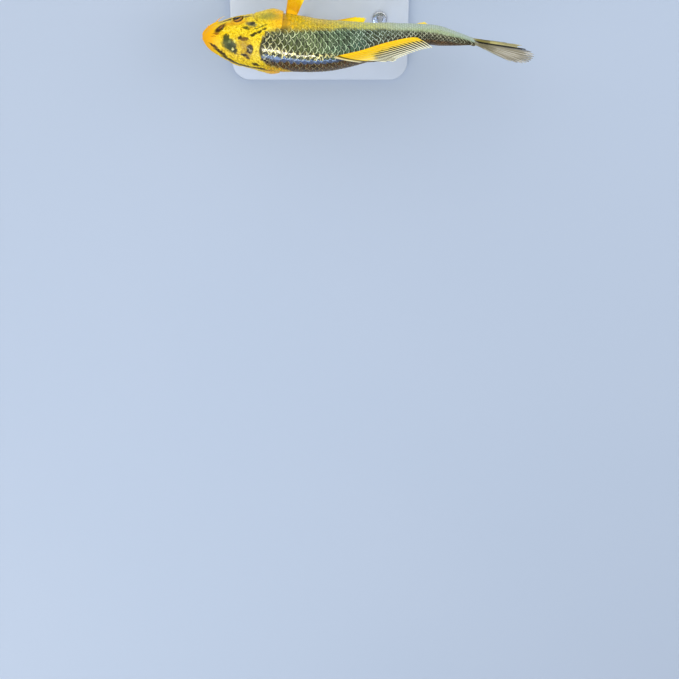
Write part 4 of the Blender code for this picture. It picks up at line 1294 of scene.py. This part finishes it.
# The floor, the light and the view.
view = {
    "tilt": 30.4,  # degrees from straight down
    "fieldOfView": 28.0,
    "place": (0.0192, 0.3943, 1.2822),
}
floorSize = 8.0
lamps = {  # place, aim, size, watts, colour, the way its long side lies
    "key": ((-0.45, 1.25, 1.00), (0, 0, 0.07), (1.8, 1.2), 5.0, (1.0, 0.985, 0.94), (1, 0, 0)),
    "left_fill": ((-0.60, -1.00, 0.80), (-0.05, 0, 0.08), (1.0, 0.8), 4.6, (1.0, 0.98, 0.93), (1, 0, 0)),
    "fill": ((1.30, 0.50, 1.10), (0, 0, 0.07), (1.2, 1.2), 9.0, (1.0, 0.99, 0.96), (0, 1, 0)),
    "ridge_glint": ((-0.54, -0.20, 1.05), (-0.05, 0, 0.1), (0.76, 0.13), 22.0, (1.0, 0.93, 0.74),
                    (0.86, 0.50, 0)),
    "ridge_sky": ((-0.42, -0.82, 1.05), (-0.03, 0, 0.1), (1.1, 0.26), 24.0, (0.42, 0.60, 1.0), (1, 0, 0)),
}
sky = {
    "strength": 1.08,
    "bright": (0.0, 0.64, 0.77),  # the way to its brightest place
    "colours": ((0.30, (0.22, 0.25, 0.32, 1)), (0.62, (0.50, 0.56, 0.66, 1)), (0.95, (0.98, 1.0, 1.0, 1))),
}


def makeFloor():
    half = floorSize / 2
    points = [(-half, -half, 0), (half, -half, 0), (half, half, 0), (-half, half, 0)]
    material, n, shader = startMaterial("floor_paint", Roughness=0.6, Specular_IOR_Level=0.12)
    patches = n.span(n.noise(3.0), 0.3, 0.7, 0.0, 0.15)
    n.feed(shader, "Base Color", n.mix(patches, (176, 188, 206), (184, 193, 209)))
    floor = makeObject("floor", smoothMesh("floor", points, [(0, 1, 2, 3)]), material)


def addLamp(name, place, aim, size, watts, tint, lie):
    lamp = bpy.data.lights.new(name, "AREA")
    lamp.shape = "RECTANGLE"
    lamp.size, lamp.size_y = size
    lamp.energy = watts
    lamp.color = tint
    made = linked(name, lamp)
    made.location = place
    back = (Vector(place) - Vector(aim)).normalized()
    across = back.cross(Vector(lie)).normalized()
    made.rotation_euler = Matrix((across.cross(back), across, back)).transposed().to_euler()
    made.visible_camera = False
    return made


def makeLight():
    made = {name: addLamp(name, *lamp) for name, lamp in lamps.items()}
    made["left_fill"].visible_glossy = False
    made["ridge_glint"].visible_diffuse = False  # these two only make the gloss along the back
    made["ridge_sky"].visible_diffuse = False
    world = bpy.data.worlds.new("soft_room")
    bpy.context.scene.world = world
    world.use_nodes = True
    n = Nodes(world.node_tree)
    way = n.add("ShaderNodeTexCoord").outputs["Generated"]
    toBright = n.feedAll(n.add("ShaderNodeVectorMath", {"operation": "DOT_PRODUCT"}), way, sky["bright"])
    background = world.node_tree.nodes["Background"]
    n.feed(background, "Color", n.ramp(n.line(toBright.outputs["Value"], 0.5, 0.5), sky["colours"], "LINEAR"))
    n.feed(background, "Strength", sky["strength"])


def makeCamera():
    lens = bpy.data.cameras.new("camera")
    lens.angle = math.radians(view["fieldOfView"])
    made = linked("camera", lens)
    made.location = view["place"]
    made.rotation_euler = (-math.radians(view["tilt"]), 0.0, 0.0)
    bpy.context.scene.camera = made
    bpy.context.scene.view_settings.view_transform = "Standard"


markings = buildMarkings()
skinMaterial, scaleMaterial = makeSkinMaterial(markings), makeScaleMaterial(markings)
makeSkin(skinMaterial)
makeScales(scaleMaterial)
tubeTree = buildTubeTree()
makeFins(tubeTree)
makeEyes()
makeFeelers(tubeTree)
makeStand()
makeFloor()
makeLight()
makeCamera()
print("stage done")
